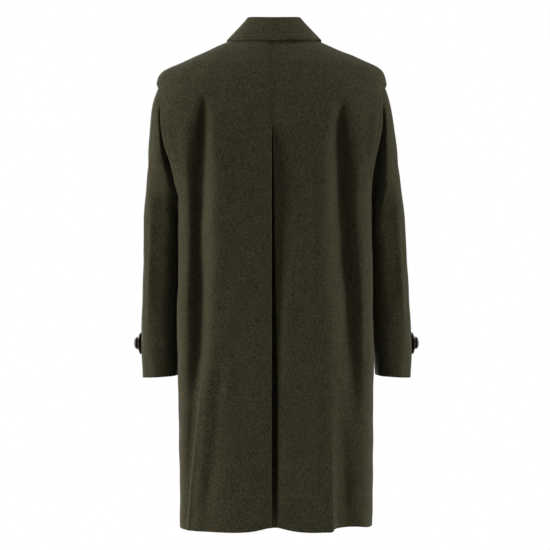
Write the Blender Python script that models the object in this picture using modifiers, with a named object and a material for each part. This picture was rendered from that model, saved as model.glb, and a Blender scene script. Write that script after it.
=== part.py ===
"""A knee-length loden coat, filled out as if worn, built as a hollow shell of separate cloth pieces.

Units are metres. +Z is up, the front faces -Y and the wearer's left is +X.
The origin is the middle of the neck, level with the neck ends of the shoulder seams.
"""

import math
from collections import namedtuple

import bmesh
import bpy
import numpy as np
from mathutils import Matrix, Vector

# Cloth and seams
CLOTH = 0.0025
COLLAR_CLOTH = 0.0036
STRAP_CLOTH = 0.0030
SEAM_GAP = 0.0003
LAYER_GAP = 0.0008
SLEEVE_SEAM_GAP = 0.0008
HEAD_CLEARANCE = 0.0024
BUTTON_CLEARANCE = 0.0008
STRAP_CLEARANCE = 0.0007

# Body
NECK_HALF_WIDTH = 0.074
FRONT_NECK_DROP = 0.062
NECK_SHAPED_FROM = -0.260
HEM = -1.034
FRONT_OVERLAP = 0.025
OVERLAP_RAMP = 0.020
FOLD_FADES_WITHIN = 0.045

# Pleat down the centre back. Its left fold edge hangs straight and the right one stands away from it.
PLEAT_LEFT_EDGE = 0.0047
PLEAT_TURN_RADIUS = (CLOTH + LAYER_GAP) / 2
PLEAT_TOP = -0.040
PLEAT_FALL_PLACE = -0.003
UNDERLAY_CLEARANCE = 0.0014

# Sleeves
ARMHOLE_X = {1: 0.200, -1: 0.192}
ARMHOLE_MIDDLE = -0.175
HIND_SEAM = math.radians(42)
FORE_SEAM = math.radians(-125)
HEAD_BLENDS_OVER = 2.0

# Collar
COLLAR_TURN_RADIUS = 0.0036
COLLAR_SEAT = 0.0024
COLLAR_EDGE_STANDOFF = CLOTH / 2 + COLLAR_CLOTH / 2 + 0.0012
FALL_BULGE = 0.004

# Cuff straps
STRAP_TOP = -0.629
STRAP_BOTTOM = -0.675
STRAP_ROOT = math.radians(-118)
STRAP_TIP = math.radians(7)
STRAP_POINT_SHARE = 0.16
STRAP_POINT_WIDTH = 0.45
STRAP_LIFT = 0.006
STRAP_LIFTS_FROM = 0.55

# Buttons
BUTTON_RADIUS = 0.0135
BUTTON_HEIGHT = 0.0085
BUTTON_SHANK = 0.0025
FRONT_BUTTON_HEIGHTS = (-0.092, -0.205, -0.318, -0.431, -0.544)
CUFF_BUTTON_SHARE = 0.86

LODEN_GREEN = (0.030, 0.028, 0.016)
LEATHER_BROWN = (0.014, 0.010, 0.008)


class Table:
    """Rows of named columns, read at any key on a smooth curve that never overshoots the rows."""

    def __init__(self, columns, *rows):
        self.row_type = namedtuple("Row", columns.split()[1:])
        data = np.array(sorted(rows), float)
        self.keys, self.values = data[:, 0], data[:, 1:]
        slopes = np.diff(self.values, axis=0) / np.diff(self.keys)[:, None]
        product, total = slopes[:-1] * slopes[1:], slopes[:-1] + slopes[1:]
        inner = np.where(product > 0, 2 * product / np.where(total == 0, 1, total), 0)
        self.slopes = np.vstack([slopes[:1], inner, slopes[-1:]])

    def at(self, key):
        i = int(np.clip(np.searchsorted(self.keys, key) - 1, 0, len(self.keys) - 2))
        step = self.keys[i + 1] - self.keys[i]
        t = (key - self.keys[i]) / step
        start, end = self.values[i], self.values[i + 1]
        found = (
            start * (1 + 2 * t) * (1 - t) ** 2
            + end * t * t * (3 - 2 * t)
            + step * t * (1 - t) * (self.slopes[i] * (1 - t) - self.slopes[i + 1] * t)
        )
        return self.row_type(*found)


# Level girths of the body: half widths on the wearer's left and right, depths behind and before
# the shoulder seam, and how boxy the curve is (2 is an ellipse).
GIRTHS = Table(
    "height left right back front boxy",
    (0.000, 0.074, 0.074, 0.070, 0.064, 2.0),
    (-0.034, 0.148, 0.151, 0.090, 0.081, 2.1),
    (-0.051, 0.188, 0.191, 0.097, 0.090, 2.15),
    (-0.068, 0.226, 0.225, 0.103, 0.098, 2.25),
    (-0.076, 0.238, 0.232, 0.105, 0.102, 2.3),
    (-0.088, 0.246, 0.236, 0.109, 0.107, 2.4),
    (-0.104, 0.249, 0.239, 0.113, 0.113, 2.5),
    (-0.150, 0.263, 0.252, 0.121, 0.125, 2.8),
    (-0.190, 0.264, 0.255, 0.126, 0.133, 3.0),
    (-0.228, 0.259, 0.249, 0.128, 0.138, 3.0),
    (-0.271, 0.237, 0.231, 0.128, 0.140, 3.0),
    (-0.313, 0.219, 0.217, 0.126, 0.140, 2.9),
    (-0.347, 0.2045, 0.2085, 0.124, 0.140, 2.9),
    (-0.392, 0.203, 0.207, 0.122, 0.139, 2.85),
    (-0.450, 0.203, 0.208, 0.121, 0.138, 2.8),
    (-0.620, 0.204, 0.209, 0.126, 0.140, 2.7),
    (-0.770, 0.202, 0.210, 0.134, 0.144, 2.6),
    (-0.900, 0.200, 0.209, 0.141, 0.148, 2.55),
    (HEM, 0.197, 0.207, 0.147, 0.151, 2.5),
)

# Where the back and the front panel end beside the arm: on the shoulder seam, then along the free
# edges of the shoulder flange that hang over the sleeve, then on the side seam.
SIDE_EDGES = Table(
    "height back_edge front_edge",
    (0.000, 0.000, 0.000),
    (-0.100, 0.000, 0.000),
    (-0.106, 0.034, -0.030),
    (-0.122, 0.058, -0.052),
    (-0.150, 0.074, -0.070),
    (-0.190, 0.084, -0.082),
    (-0.228, 0.0865, -0.088),
    (-0.271, 0.080, -0.090),
    (-0.313, 0.066, -0.084),
    (-0.347, 0.044, -0.070),
    (-0.375, 0.002, -0.046),
    (-0.392, -0.024, -0.024),
    (HEM, -0.024, -0.024),
)

# The inverted pleat: how wide it stands open at the fold edges, how far its cloth turns under, and
# how far the underlay behind it sags.
PLEAT = Table(
    "height opening depth sag",
    (0.000, 0.0004, 0.014, 0.003),
    (-0.190, 0.0005, 0.017, 0.004),
    (-0.225, 0.0024, 0.020, 0.008),
    (-0.300, 0.0066, 0.040, 0.012),
    (-0.400, 0.0092, 0.046, 0.015),
    (-0.556, 0.0112, 0.054, 0.020),
    (-0.762, 0.0118, 0.059, 0.026),
    (HEM, 0.0118, 0.062, 0.030),
)
# How far the right half of the back falls in beside the pleat.
PLEAT_FALL = Table(
    "height depth half_width",
    (0.000, 0.000, 0.030),
    (-0.185, 0.000, 0.034),
    (-0.225, 0.007, 0.042),
    (-0.250, 0.010, 0.043),
    (-0.309, 0.011, 0.040),
    (-0.371, 0.010, 0.032),
    (-0.454, 0.009, 0.022),
    (-0.556, 0.008, 0.016),
    (-0.660, 0.007, 0.013),
    (HEM, 0.006, 0.011),
)

# Soft folds by height: where each lies across, how far it stands out (troughs are negative) and its
# half width. On the back a fold runs out more softly towards the middle than towards the side.
FOLD_COLUMNS = "height place depth half_width"
FOLD_INNER_SOFTNESS = 1.4
BACK_FOLDS = {
    "left_trough": Table(
        FOLD_COLUMNS,
        (-0.130, 0.141, 0.000, 0.010),
        (-0.165, 0.143, -0.015, 0.0115),
        (-0.186, 0.145, -0.024, 0.0125),
        (-0.248, 0.150, -0.032, 0.016),
        (-0.309, 0.153, -0.034, 0.0175),
        (-0.454, 0.154, -0.034, 0.0175),
        (-0.557, 0.155, -0.029, 0.0165),
        (-0.660, 0.157, -0.018, 0.0145),
        (-0.765, 0.160, 0.000, 0.014),
    ),
    "left_ridge": Table(
        FOLD_COLUMNS,
        (-0.170, 0.122, 0.000, 0.014),
        (-0.248, 0.121, 0.003, 0.014),
        (-0.454, 0.123, 0.005, 0.015),
        (-0.557, 0.129, 0.006, 0.014),
        (-0.660, 0.137, 0.007, 0.013),
        (-0.763, 0.144, 0.008, 0.012),
        (-0.866, 0.152, 0.008, 0.012),
        (-1.060, 0.163, 0.008, 0.012),
    ),
    "left_hollow": Table(
        FOLD_COLUMNS,
        (-0.720, 0.165, 0.000, 0.010),
        (-0.800, 0.169, -0.003, 0.010),
        (-0.900, 0.177, -0.004, 0.009),
        (-1.060, 0.186, -0.003, 0.008),
    ),
    "left_side": Table(
        FOLD_COLUMNS,
        (-0.420, 0.192, 0.000, 0.015),
        (-0.520, 0.192, 0.012, 0.015),
        (-0.700, 0.191, 0.020, 0.015),
        (-1.060, 0.189, 0.021, 0.015),
    ),
    "right_trough": Table(
        FOLD_COLUMNS,
        (-0.138, -0.143, 0.000, 0.010),
        (-0.170, -0.1435, -0.014, 0.0115),
        (-0.186, -0.144, -0.022, 0.013),
        (-0.248, -0.145, -0.033, 0.016),
        (-0.309, -0.1455, -0.036, 0.0175),
        (-0.371, -0.146, -0.036, 0.019),
        (-0.454, -0.150, -0.036, 0.020),
        (-0.557, -0.1555, -0.031, 0.020),
        (-0.660, -0.159, -0.020, 0.019),
        (-0.742, -0.162, -0.008, 0.018),
        (-0.830, -0.164, 0.000, 0.018),
    ),
    "right_ridge": Table(
        FOLD_COLUMNS,
        (-0.500, -0.114, 0.000, 0.014),
        (-0.763, -0.117, 0.004, 0.012),
        (-0.866, -0.119, 0.007, 0.011),
        (-1.060, -0.120, 0.011, 0.010),
    ),
    "right_fall": Table(
        FOLD_COLUMNS,
        (-0.720, -0.140, 0.000, 0.022),
        (-0.866, -0.140, -0.007, 0.022),
        (-1.060, -0.141, -0.014, 0.023),
    ),
    "right_side": Table(
        FOLD_COLUMNS,
        (-0.420, -0.197, 0.000, 0.017),
        (-0.520, -0.197, 0.011, 0.017),
        (-0.700, -0.197, 0.017, 0.018),
        (-1.060, -0.195, 0.018, 0.019),
    ),
    "centre_hollow": Table(
        FOLD_COLUMNS,
        (-0.280, 0.000, 0.000, 0.050),
        (-0.600, 0.000, -0.008, 0.058),
        (-0.850, 0.000, -0.015, 0.066),
        (-1.060, 0.000, -0.021, 0.072),
    ),
}
FRONT_FOLDS = {
    "left_trough": Table(
        FOLD_COLUMNS,
        (-0.220, 0.140, 0.000, 0.024),
        (-0.330, 0.143, -0.015, 0.024),
        (-0.560, 0.149, -0.010, 0.023),
        (-0.800, 0.156, 0.000, 0.022),
    ),
    "right_trough": Table(
        FOLD_COLUMNS,
        (-0.220, -0.138, 0.000, 0.024),
        (-0.350, -0.141, -0.013, 0.024),
        (-0.600, -0.147, -0.009, 0.023),
        (-0.780, -0.153, 0.000, 0.022),
    ),
    "left_ridge": Table(
        FOLD_COLUMNS,
        (-0.480, 0.104, 0.000, 0.022),
        (-0.800, 0.116, 0.008, 0.020),
        (-1.060, 0.126, 0.013, 0.019),
    ),
    "right_ridge": Table(
        FOLD_COLUMNS,
        (-0.520, -0.100, 0.000, 0.022),
        (-0.820, -0.110, 0.007, 0.020),
        (-1.060, -0.117, 0.012, 0.019),
    ),
}
# Where the columns of each half of the back run, so that they follow its folds: outside the trough,
# in it, inside it and on the ridge.
LANE_COLUMNS = "height outer trough inner ridge"
LANES = {
    1: Table(
        LANE_COLUMNS,
        (-0.165, 0.160, 0.143, 0.127, 0.110),
        (-0.248, 0.170, 0.150, 0.131, 0.113),
        (-0.309, 0.175, 0.153, 0.132, 0.114),
        (-0.454, 0.176, 0.154, 0.133, 0.115),
        (-0.557, 0.175, 0.155, 0.137, 0.122),
        (-0.660, 0.176, 0.157, 0.145, 0.134),
        (-0.763, 0.178, 0.163, 0.155, 0.146),
        (-0.866, 0.187, 0.175, 0.167, 0.158),
        (HEM, 0.191, 0.184, 0.178, 0.1715),
    ),
    -1: Table(
        LANE_COLUMNS,
        (-0.165, 0.160, 0.1435, 0.127, 0.109),
        (-0.248, 0.166, 0.145, 0.125, 0.107),
        (-0.309, 0.168, 0.1455, 0.124, 0.106),
        (-0.371, 0.171, 0.146, 0.123, 0.105),
        (-0.454, 0.176, 0.150, 0.126, 0.106),
        (-0.557, 0.181, 0.1555, 0.131, 0.110),
        (-0.660, 0.183, 0.159, 0.136, 0.114),
        (-0.763, 0.184, 0.161, 0.138, 0.117),
        (-0.866, 0.184, 0.160, 0.138, 0.119),
        (HEM, 0.184, 0.158, 0.136, 0.1195),
    ),
}
# How many columns lie between the side edge, each lane and the pleat.
COLUMNS_BETWEEN_LANES = (6, 4, 4, 3, 10)

# Where the back hem rides up: at the pleat, and where the right side falls back.
HemRise = namedtuple("HemRise", "place width lift")
HEM_RISES = (
    HemRise(0.000, 0.035, 0.009),
    HemRise(-0.165, 0.040, 0.008),
)

# The sleeve by rings from its head to its cuff. Each ring spans from the outer line to the inner
# line, turn carries its outer side back and its inner side forward, and boxy is as in the girths.
SLEEVE_RINGS = Table(
    "ring outer_left outer_right outer_height inner_left inner_right inner_height"
    " half_depth middle turn boxy",
    (0, 0.206, 0.198, -0.062, 0.190, 0.182, -0.285, 0.099, -0.002, 0.000, 2.0),
    (1, 0.229, 0.221, -0.084, 0.1905, 0.183, -0.292, 0.089, -0.003, 0.002, 2.0),
    (2, 0.246, 0.236, -0.110, 0.192, 0.187, -0.301, 0.080, -0.004, 0.004, 2.1),
    (3, 0.259, 0.248, -0.152, 0.195, 0.194, -0.317, 0.072, -0.005, -0.002, 2.6),
    (4, 0.265, 0.258, -0.215, 0.2005, 0.203, -0.338, 0.067, -0.007, -0.005, 2.6),
    (5, 0.270, 0.267, -0.290, 0.2065, 0.2105, -0.372, 0.065, -0.016, -0.004, 2.8),
    (6, 0.2745, 0.2745, -0.365, 0.2070, 0.2115, -0.412, 0.070, -0.024, -0.002, 3.6),
    (7, 0.2775, 0.281, -0.440, 0.2070, 0.2115, -0.470, 0.073, -0.034, 0.000, 3.4),
    (8, 0.2795, 0.286, -0.515, 0.2070, 0.2120, -0.532, 0.072, -0.042, 0.000, 3.2),
    (9, 0.282, 0.290, -0.585, 0.2070, 0.2130, -0.594, 0.069, -0.048, 0.000, 3.0),
    (10, 0.283, 0.293, -0.645, 0.2070, 0.2150, -0.648, 0.065, -0.053, 0.000, 2.8),
    (11, 0.283, 0.2945, -0.694, 0.2070, 0.2185, -0.692, 0.062, -0.056, 0.000, 2.6),
    (12, 0.283, 0.294, -0.725, 0.2070, 0.2205, -0.720, 0.061, -0.058, 0.000, 2.5),
)

# The collar by the angle round the neck, 0 at centre back and 180 at centre front: the line where
# it folds over, and the edge of its fall where that lies on the coat. The row before 0 mirrors the
# one after it, so that both lines run level across the centre.
COLLAR = Table(
    "angle fold_x fold_y fold_height edge_x edge_y",
    (-30, -0.033, 0.055, 0.0312, -0.047, 0.0735),
    (0, 0.000, 0.062, 0.031, 0.000, 0.0815),
    (30, 0.033, 0.055, 0.0312, 0.047, 0.0735),
    (60, 0.056, 0.033, 0.0312, 0.081, 0.054),
    (90, 0.0625, 0.000, 0.027, 0.097, 0.012),
    (120, 0.060, -0.037, 0.010, 0.099, -0.038),
    (150, 0.040, -0.071, -0.011, 0.087, -0.079),
    (178, 0.006, -0.086, -0.035, 0.062, -0.114),
)

ROW_HEIGHTS = (
    HEM, -0.970, -0.890, -0.805, -0.720, -0.635, -0.550, -0.465, -0.392, -0.362, -0.330, -0.292,
    -0.250, -0.210, -0.172, -0.140, -0.118, -0.106, -0.098, -0.086, -0.070, -0.050, -0.026, 0.0,
)
COLUMN_CROWDING = 1.25
TURN_STEPS = 3
RETURN_COLUMNS = 2
FRONT_COLUMNS = 14
OVERLAP_COLUMNS = 2
SLEEVE_STATIONS = (0, 0.35, 0.8, 1.4, 2, 2.5, 3, 3.6, 4.3, 5, 6, 7, 8, 9, 10, 11, 12)
SLEEVE_COLUMNS = 10
COLLAR_COLUMNS = 28
STRAP_COLUMNS = 11
STRAP_ROWS = 4
BUTTON_SIDES = 12

QUARTER_TURN = np.linspace(0, math.pi / 2, 161)
NUDGE = 0.001
AROUND_STEP = 0.004


def smooth(share):
    share = min(1.0, max(0.0, share))
    return share * share * (3 - 2 * share)


def mix(start, end, share):
    return start + (end - start) * share


def quarter(side, face, height):
    """A quarter of a level girth, from the middle to the side: x, y and the share of its length."""
    girth = GIRTHS.at(height)
    half = girth.left if side > 0 else girth.right
    depth = girth.back if face > 0 else girth.front
    x = half * np.abs(np.sin(QUARTER_TURN)) ** (2 / girth.boxy)
    y = depth * np.abs(np.cos(QUARTER_TURN)) ** (2 / girth.boxy)
    length = np.concatenate([[0], np.cumsum(np.hypot(np.diff(x), np.diff(y)))])
    return x, y, length / length[-1]


def fold_depth(face, x, height):
    """How far the soft folds stand out of the plain girth here."""
    total = 0.0
    for fold in (BACK_FOLDS if face > 0 else FRONT_FOLDS).values():
        if fold.keys[0] < height < fold.keys[-1]:
            row = fold.at(height)
            soft = FOLD_INNER_SOFTNESS if face > 0 and abs(x) < abs(row.place) else 1
            total += row.depth * math.exp(-(((x - row.place) / (row.half_width * soft)) ** 2))
    return total


def body_point(side, around, height):
    """The middle of the cloth. around is 0 at centre back, 1 at the side and 2 at centre front."""
    if around < 0:
        side, around = -side, -around
    if around > 2:
        side, around = -side, 4 - around
    face = 1 if around <= 1 else -1
    x, y, share = quarter(side, face, height)
    place = around if face > 0 else 2 - around
    px, py = np.interp(place, share, x), np.interp(place, share, y)
    py += fold_depth(face, side * px, height) * smooth(py / FOLD_FADES_WITHIN)
    shift = 0.0
    if face > 0:
        shift = (PLEAT_LEFT_EDGE - PLEAT.at(height).opening / 2) * (1 - (px / x[-1]) ** 2)
    return Vector((side * px + shift, face * py, height))


def normal_of(point_at, side, around, height):
    """The outward normal of a surface given by side, way round and height."""
    across = point_at(side, around + AROUND_STEP, height) - point_at(side, around - AROUND_STEP, height)
    up = point_at(side, around, height + NUDGE) - point_at(side, around, height - NUDGE)
    return side * up.cross(across).normalized()


def body_normal(side, around, height):
    return normal_of(body_point, side, around, height)


def around_at_x(side, face, x, height):
    """around where the girth is this far from the middle, measured on one face."""
    xs, _, share = quarter(side, face, height)
    place = float(np.interp(x, xs, share))
    return place if face > 0 else 2 - place


def around_at_y(side, y, height):
    """around where the girth crosses this depth beside the arm."""
    face = 1 if y >= 0 else -1
    _, ys, share = quarter(side, face, height)
    place = float(np.interp(abs(y), ys[::-1], share[::-1]))
    return place if face > 0 else 2 - place


def hem_height(x):
    return HEM + sum(rise.lift * math.exp(-(((x - rise.place) / rise.width) ** 2)) for rise in HEM_RISES)


def new_object(name, mesh, material):
    mesh.materials.append(material)
    mesh.shade_smooth()
    mesh.set_sharp_from_angle(angle=math.radians(45))
    obj = bpy.data.objects.new(name, mesh)
    bpy.data.collections["coat"].objects.link(obj)
    return obj


def cloth_wall(name, points, normals, thickness, material):
    """A closed wall of even thickness lofted through rows of points on the middle of the cloth."""
    form = bmesh.new()
    rows, columns = len(points), len(points[0])
    layers = []
    for sign in (1, -1):
        offset = sign * thickness / 2
        layers.append([
            [form.verts.new(p + n * offset) for p, n in zip(point_row, normal_row)]
            for point_row, normal_row in zip(points, normals)
        ])
    outer, inner = layers
    for i in range(rows - 1):
        for j in range(columns - 1):
            corners = ((i, j), (i, j + 1), (i + 1, j + 1), (i + 1, j))
            form.faces.new([outer[a][b] for a, b in corners])
            form.faces.new([inner[a][b] for a, b in reversed(corners)])
    rim = [(0, j) for j in range(columns)] + [(i, columns - 1) for i in range(1, rows)]
    rim += [(rows - 1, j) for j in reversed(range(columns - 1))]
    rim += [(i, 0) for i in reversed(range(1, rows - 1))]
    for (a, b), (c, d) in zip(rim, rim[1:] + rim[:1]):
        form.faces.new((outer[a][b], inner[a][b], inner[c][d], outer[c][d]))
    bmesh.ops.recalc_face_normals(form, faces=form.faces)
    mesh = bpy.data.meshes.new(name)
    form.to_mesh(mesh)
    form.free()
    return new_object(name, mesh, material)


def pleat_edge_x(height):
    """Where the flat of the back ends and its turn into the pleat begins."""
    return PLEAT.at(height).opening / 2 + CLOTH / 2 + PLEAT_TURN_RADIUS


def pleat_fall(x, height):
    """How far the right half of the back falls in at this distance from the middle."""
    row = PLEAT_FALL.at(height)
    return row.depth * math.exp(-(((x - PLEAT_FALL_PLACE) / row.half_width) ** 2))


def back_point(side, around, height):
    """A point of the back's cloth: the body's own, fallen in on the right beside the pleat."""
    point = body_point(side, around, height)
    if side < 0:
        point.y -= pleat_fall(point.x, height)
    return point


def back_normal(side, around, height):
    return normal_of(back_point, side, around, height)


def back_ends(side, height):
    """How far round a row of the back begins beside the arm and ends at the pleat."""
    edge = around_at_y(side, SIDE_EDGES.at(height).back_edge + SEAM_GAP / 2, height)
    return edge, around_at_x(side, 1, pleat_edge_x(height), height)


def back_columns(side, height):
    """How far round each column of a row lies. Above the lanes they keep their shares of the row."""
    laned = min(height, LANES[side].keys[-1])
    lanes = [around_at_x(side, 1, x, laned) for x in LANES[side].at(laned)]
    laned_edge, laned_middle = back_ends(side, laned)
    edge, middle = back_ends(side, height)
    shares = [1.0] + [(lane - laned_middle) / (laned_edge - laned_middle) for lane in lanes] + [0.0]
    columns = []
    for start, end, count in zip(shares, shares[1:], COLUMNS_BETWEEN_LANES):
        columns += [mix(middle, edge, mix(start, end, j / count)) for j in range(count)]
    return columns + [middle]


def back_row(side, height):
    """One row of a back panel: from the side edge to the pleat, round its turn and back under."""
    points, normals = [], []
    for around in back_columns(side, height):
        level = height
        if height == HEM:
            level = hem_height(body_point(side, around, height).x)
        points.append(back_point(side, around, level))
        normals.append(back_normal(side, around, level))
    edge_point, out = points[-1], normals[-1]
    level = edge_point.z
    to_centre = Vector((0, 0, 1)).cross(out).normalized() * side
    hinge = edge_point - out * PLEAT_TURN_RADIUS
    for step in range(1, TURN_STEPS + 1):
        turn = math.pi * step / TURN_STEPS
        arm = out * math.cos(turn) + to_centre * math.sin(turn)
        points.append(hinge + arm * PLEAT_TURN_RADIUS)
        normals.append(arm)
    for step in range(1, RETURN_COLUMNS + 1):
        reach = PLEAT.at(height).depth * step / RETURN_COLUMNS
        around = around_at_x(side, 1, pleat_edge_x(height) + reach, level)
        normal = back_normal(side, around, level)
        points.append(back_point(side, around, level) - normal * 2 * PLEAT_TURN_RADIUS)
        normals.append(-normal)
    return points, normals


def make_back(name, side, material):
    rows = [back_row(side, height) for height in ROW_HEIGHTS]
    cloth_wall(name, [r[0] for r in rows], [r[1] for r in rows], CLOTH, material)


def make_pleat_underlay(name, material):
    """The strip that closes the pleat behind its two turned-under edges."""
    points, normals = [], []
    for height in [h for h in ROW_HEIGHTS if h < PLEAT_TOP] + [PLEAT_TOP]:
        reach = pleat_edge_x(height) + PLEAT.at(height).depth
        point_row, normal_row = [], []
        for j in range(-RETURN_COLUMNS - 1, RETURN_COLUMNS + 2):
            inner = abs(j) - 1
            x = math.copysign(mix(pleat_edge_x(height), reach, inner / RETURN_COLUMNS), -j) if j else 0.0
            level = hem_height(x) if height == HEM else height
            side = 1 if x >= 0 else -1
            around = around_at_x(side, 1, abs(x), level)
            normal = body_normal(side, around, level)
            sunk = 2 * PLEAT_TURN_RADIUS + CLOTH + UNDERLAY_CLEARANCE
            sunk += PLEAT.at(height).sag * (1 - (x / reach) ** 2) + pleat_fall(x, height)
            point_row.append(body_point(side, around, level) - normal * sunk)
            normal_row.append(normal)
        points.append(point_row)
        normals.append(normal_row)
    cloth_wall(name, points, normals, CLOTH, material)


def front_row(side, height):
    """One row of a front panel, from the side edge past centre front to the end of its overlap."""
    points, normals = [], []
    neck = smooth((height - NECK_SHAPED_FROM) / -NECK_SHAPED_FROM)
    edge_y = SIDE_EDGES.at(height).front_edge - SEAM_GAP / 2
    for j in range(FRONT_COLUMNS + OVERLAP_COLUMNS):
        share = min(1.0, j / (FRONT_COLUMNS - 1)) ** COLUMN_CROWDING
        swing = share**2 * math.pi / 2
        drop = FRONT_NECK_DROP * math.sin(swing)
        level = height - neck * drop
        neck_around = around_at_x(side, -1, NECK_HALF_WIDTH * math.cos(swing), -drop)
        around = mix(around_at_y(side, edge_y, height), 2, mix(share, neck_around - 1, neck))
        if j >= FRONT_COLUMNS:
            past = FRONT_OVERLAP * (j - FRONT_COLUMNS + 1) / OVERLAP_COLUMNS
            around = 4 - around_at_x(-side, -1, past, level)
        point, normal = body_point(side, around, level), body_normal(side, around, level)
        if side < 0:
            under = smooth((point.x + FRONT_OVERLAP + 1.5 * OVERLAP_RAMP) / OVERLAP_RAMP)
            point -= normal * (CLOTH + LAYER_GAP) * under
        points.append(point)
        normals.append(normal)
    return points, normals


def make_front(name, side, material):
    rows = [front_row(side, height) for height in ROW_HEIGHTS]
    cloth_wall(name, [r[0] for r in rows], [r[1] for r in rows], CLOTH, material)


def shoulder_height(side, x):
    """How high the shoulder seam is at this distance from the middle."""
    heights = np.linspace(-0.1, 0, 201)
    halves = [GIRTHS.at(h).left if side > 0 else GIRTHS.at(h).right for h in heights]
    return float(np.interp(-x, -np.array(halves), heights))


def sleeve_head(side, angle):
    """The sleeve's sewn-in end: its upper half follows the inside of the coat at the armhole."""
    x = ARMHOLE_X[side]
    rise = math.cos(angle)
    if rise >= 0:
        height = mix(ARMHOLE_MIDDLE, shoulder_height(side, x), rise)
        around = around_at_x(side, 1 if math.sin(angle) >= 0 else -1, x, height)
        inward = -body_normal(side, around, height)
        return body_point(side, around, height) + inward * (CLOTH + HEAD_CLEARANCE)
    ring = SLEEVE_RINGS.at(0)
    inner = ring.inner_left if side > 0 else ring.inner_right
    corner = sleeve_head(side, math.copysign(math.pi / 2 - 1e-6, math.sin(angle)))
    drop = -rise
    return Vector((
        mix(corner.x, side * inner, drop),
        corner.y * abs(math.sin(angle)),
        mix(corner.z, ring.inner_height, drop),
    ))


def sleeve_point(side, station, angle):
    """The middle of the sleeve's cloth. angle is 0 on the outer line and positive towards the back."""
    ring = SLEEVE_RINGS.at(station)
    outer_x = ring.outer_left if side > 0 else ring.outer_right
    inner_x = ring.inner_left if side > 0 else ring.inner_right
    outer = Vector((side * outer_x, 0, ring.outer_height))
    inner = Vector((side * inner_x, 0, ring.inner_height))
    outward, backward = (
        math.copysign(abs(share) ** (2 / ring.boxy), share) for share in (math.cos(angle), math.sin(angle))
    )
    point = (outer + inner) / 2 + (outer - inner) / 2 * outward
    point.y = ring.middle + ring.half_depth * backward + ring.turn * outward
    if station < HEAD_BLENDS_OVER:
        point = sleeve_head(side, angle).lerp(point, station / HEAD_BLENDS_OVER)
    return point


def sleeve_normal(side, station, angle):
    reach, step = 0.5, 0.02
    before = max(SLEEVE_STATIONS[0], station - reach)
    beyond = min(SLEEVE_STATIONS[-1], station + reach)
    along = sleeve_point(side, beyond, angle) - sleeve_point(side, before, angle)
    across = sleeve_point(side, station, angle + step) - sleeve_point(side, station, angle - step)
    return side * along.cross(across).normalized()


def make_sleeve_panel(name, side, start, end, material):
    """The strip of the sleeve between two seams, from the armhole to the cuff."""
    points, normals = [], []
    for station in SLEEVE_STATIONS:
        point_row, normal_row = [], []
        speeds = [
            (sleeve_point(side, station, a + NUDGE) - sleeve_point(side, station, a)).length / NUDGE
            for a in (start, end)
        ]
        first = start + SLEEVE_SEAM_GAP / 2 / speeds[0]
        last = end - SLEEVE_SEAM_GAP / 2 / speeds[1]
        for j in range(SLEEVE_COLUMNS + 1):
            angle = mix(first, last, j / SLEEVE_COLUMNS)
            point_row.append(sleeve_point(side, station, angle))
            normal_row.append(sleeve_normal(side, station, angle))
        points.append(point_row)
        normals.append(normal_row)
    cloth_wall(name, points, normals, CLOTH, material)


def neck_point(side, angle):
    """The neck seam, by the angle round the neck from centre back."""
    if angle <= math.pi / 2:
        height, face, x = 0.0, 1, NECK_HALF_WIDTH * math.sin(angle)
    else:
        swing = (angle / math.pi * 2 - 1) ** 2 * math.pi / 2
        height, face, x = -FRONT_NECK_DROP * math.sin(swing), -1, NECK_HALF_WIDTH * math.cos(swing)
    return body_point(side, around_at_x(side, face, x, height), height)


def outside_girth(x, y, height):
    """Positive outside the coat's girth at this height, nothing on it and negative inside."""
    girth = GIRTHS.at(height)
    half = girth.left if x > 0 else girth.right
    depth = girth.back if y > 0 else girth.front
    return abs(x / half) ** girth.boxy + abs(y / depth) ** girth.boxy - 1


def shoulder_point(x, y, standoff):
    """The point of the shoulders or chest above this place on the plan, moved out."""
    low, high = NECK_SHAPED_FROM, 0.0
    for _ in range(40):
        middle = (low + high) / 2
        if outside_girth(x, y, middle) > 0:
            high = middle
        else:
            low = middle
    slopes = (
        outside_girth(x + NUDGE, y, low) - outside_girth(x - NUDGE, y, low),
        outside_girth(x, y + NUDGE, low) - outside_girth(x, y - NUDGE, low),
        outside_girth(x, y, low + NUDGE) - outside_girth(x, y, low - NUDGE),
    )
    return Vector((x, y, low)) + Vector(slopes).normalized() * standoff


def collar_section(turn):
    """Stand, fold and fall of the collar at one angle round the neck, negative on the right."""
    side = 1 if turn >= 0 else -1
    angle = abs(turn)
    row = COLLAR.at(math.degrees(angle))
    base = neck_point(side, angle) + Vector((0, 0, COLLAR_SEAT))
    fold = Vector((side * row.fold_x, row.fold_y, row.fold_height))
    edge = shoulder_point(side * row.edge_x, row.edge_y, COLLAR_EDGE_STANDOFF)
    out = Vector((edge.x - fold.x, edge.y - fold.y, 0)).normalized()
    inside = fold - out * COLLAR_TURN_RADIUS
    outside = fold + out * COLLAR_TURN_RADIUS
    bulge = (out + Vector((0, 0, 1))) * FALL_BULGE
    return [
        base,
        base.lerp(inside, 0.5),
        inside,
        fold + (Vector((0, 0, 1)) - out) * COLLAR_TURN_RADIUS * 0.7,
        fold + (Vector((0, 0, 1)) + out) * COLLAR_TURN_RADIUS * 0.7,
        outside + bulge * 0.3,
        outside.lerp(edge, 0.35) + bulge,
        outside.lerp(edge, 0.70) + bulge * 0.7,
        edge,
    ]


def grid_normals(points, outward_at):
    """Unit normals of a grid of points, turned so that the one at a known place points outwards."""
    grid = np.array([[tuple(p) for p in row] for row in points])
    normals = np.cross(np.gradient(grid, axis=0), np.gradient(grid, axis=1))
    normals /= np.linalg.norm(normals, axis=2, keepdims=True)
    (i, j), outward = outward_at
    if normals[i, j] @ np.array(outward) < 0:
        normals = -normals
    return [[Vector(n) for n in row] for row in normals]


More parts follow.
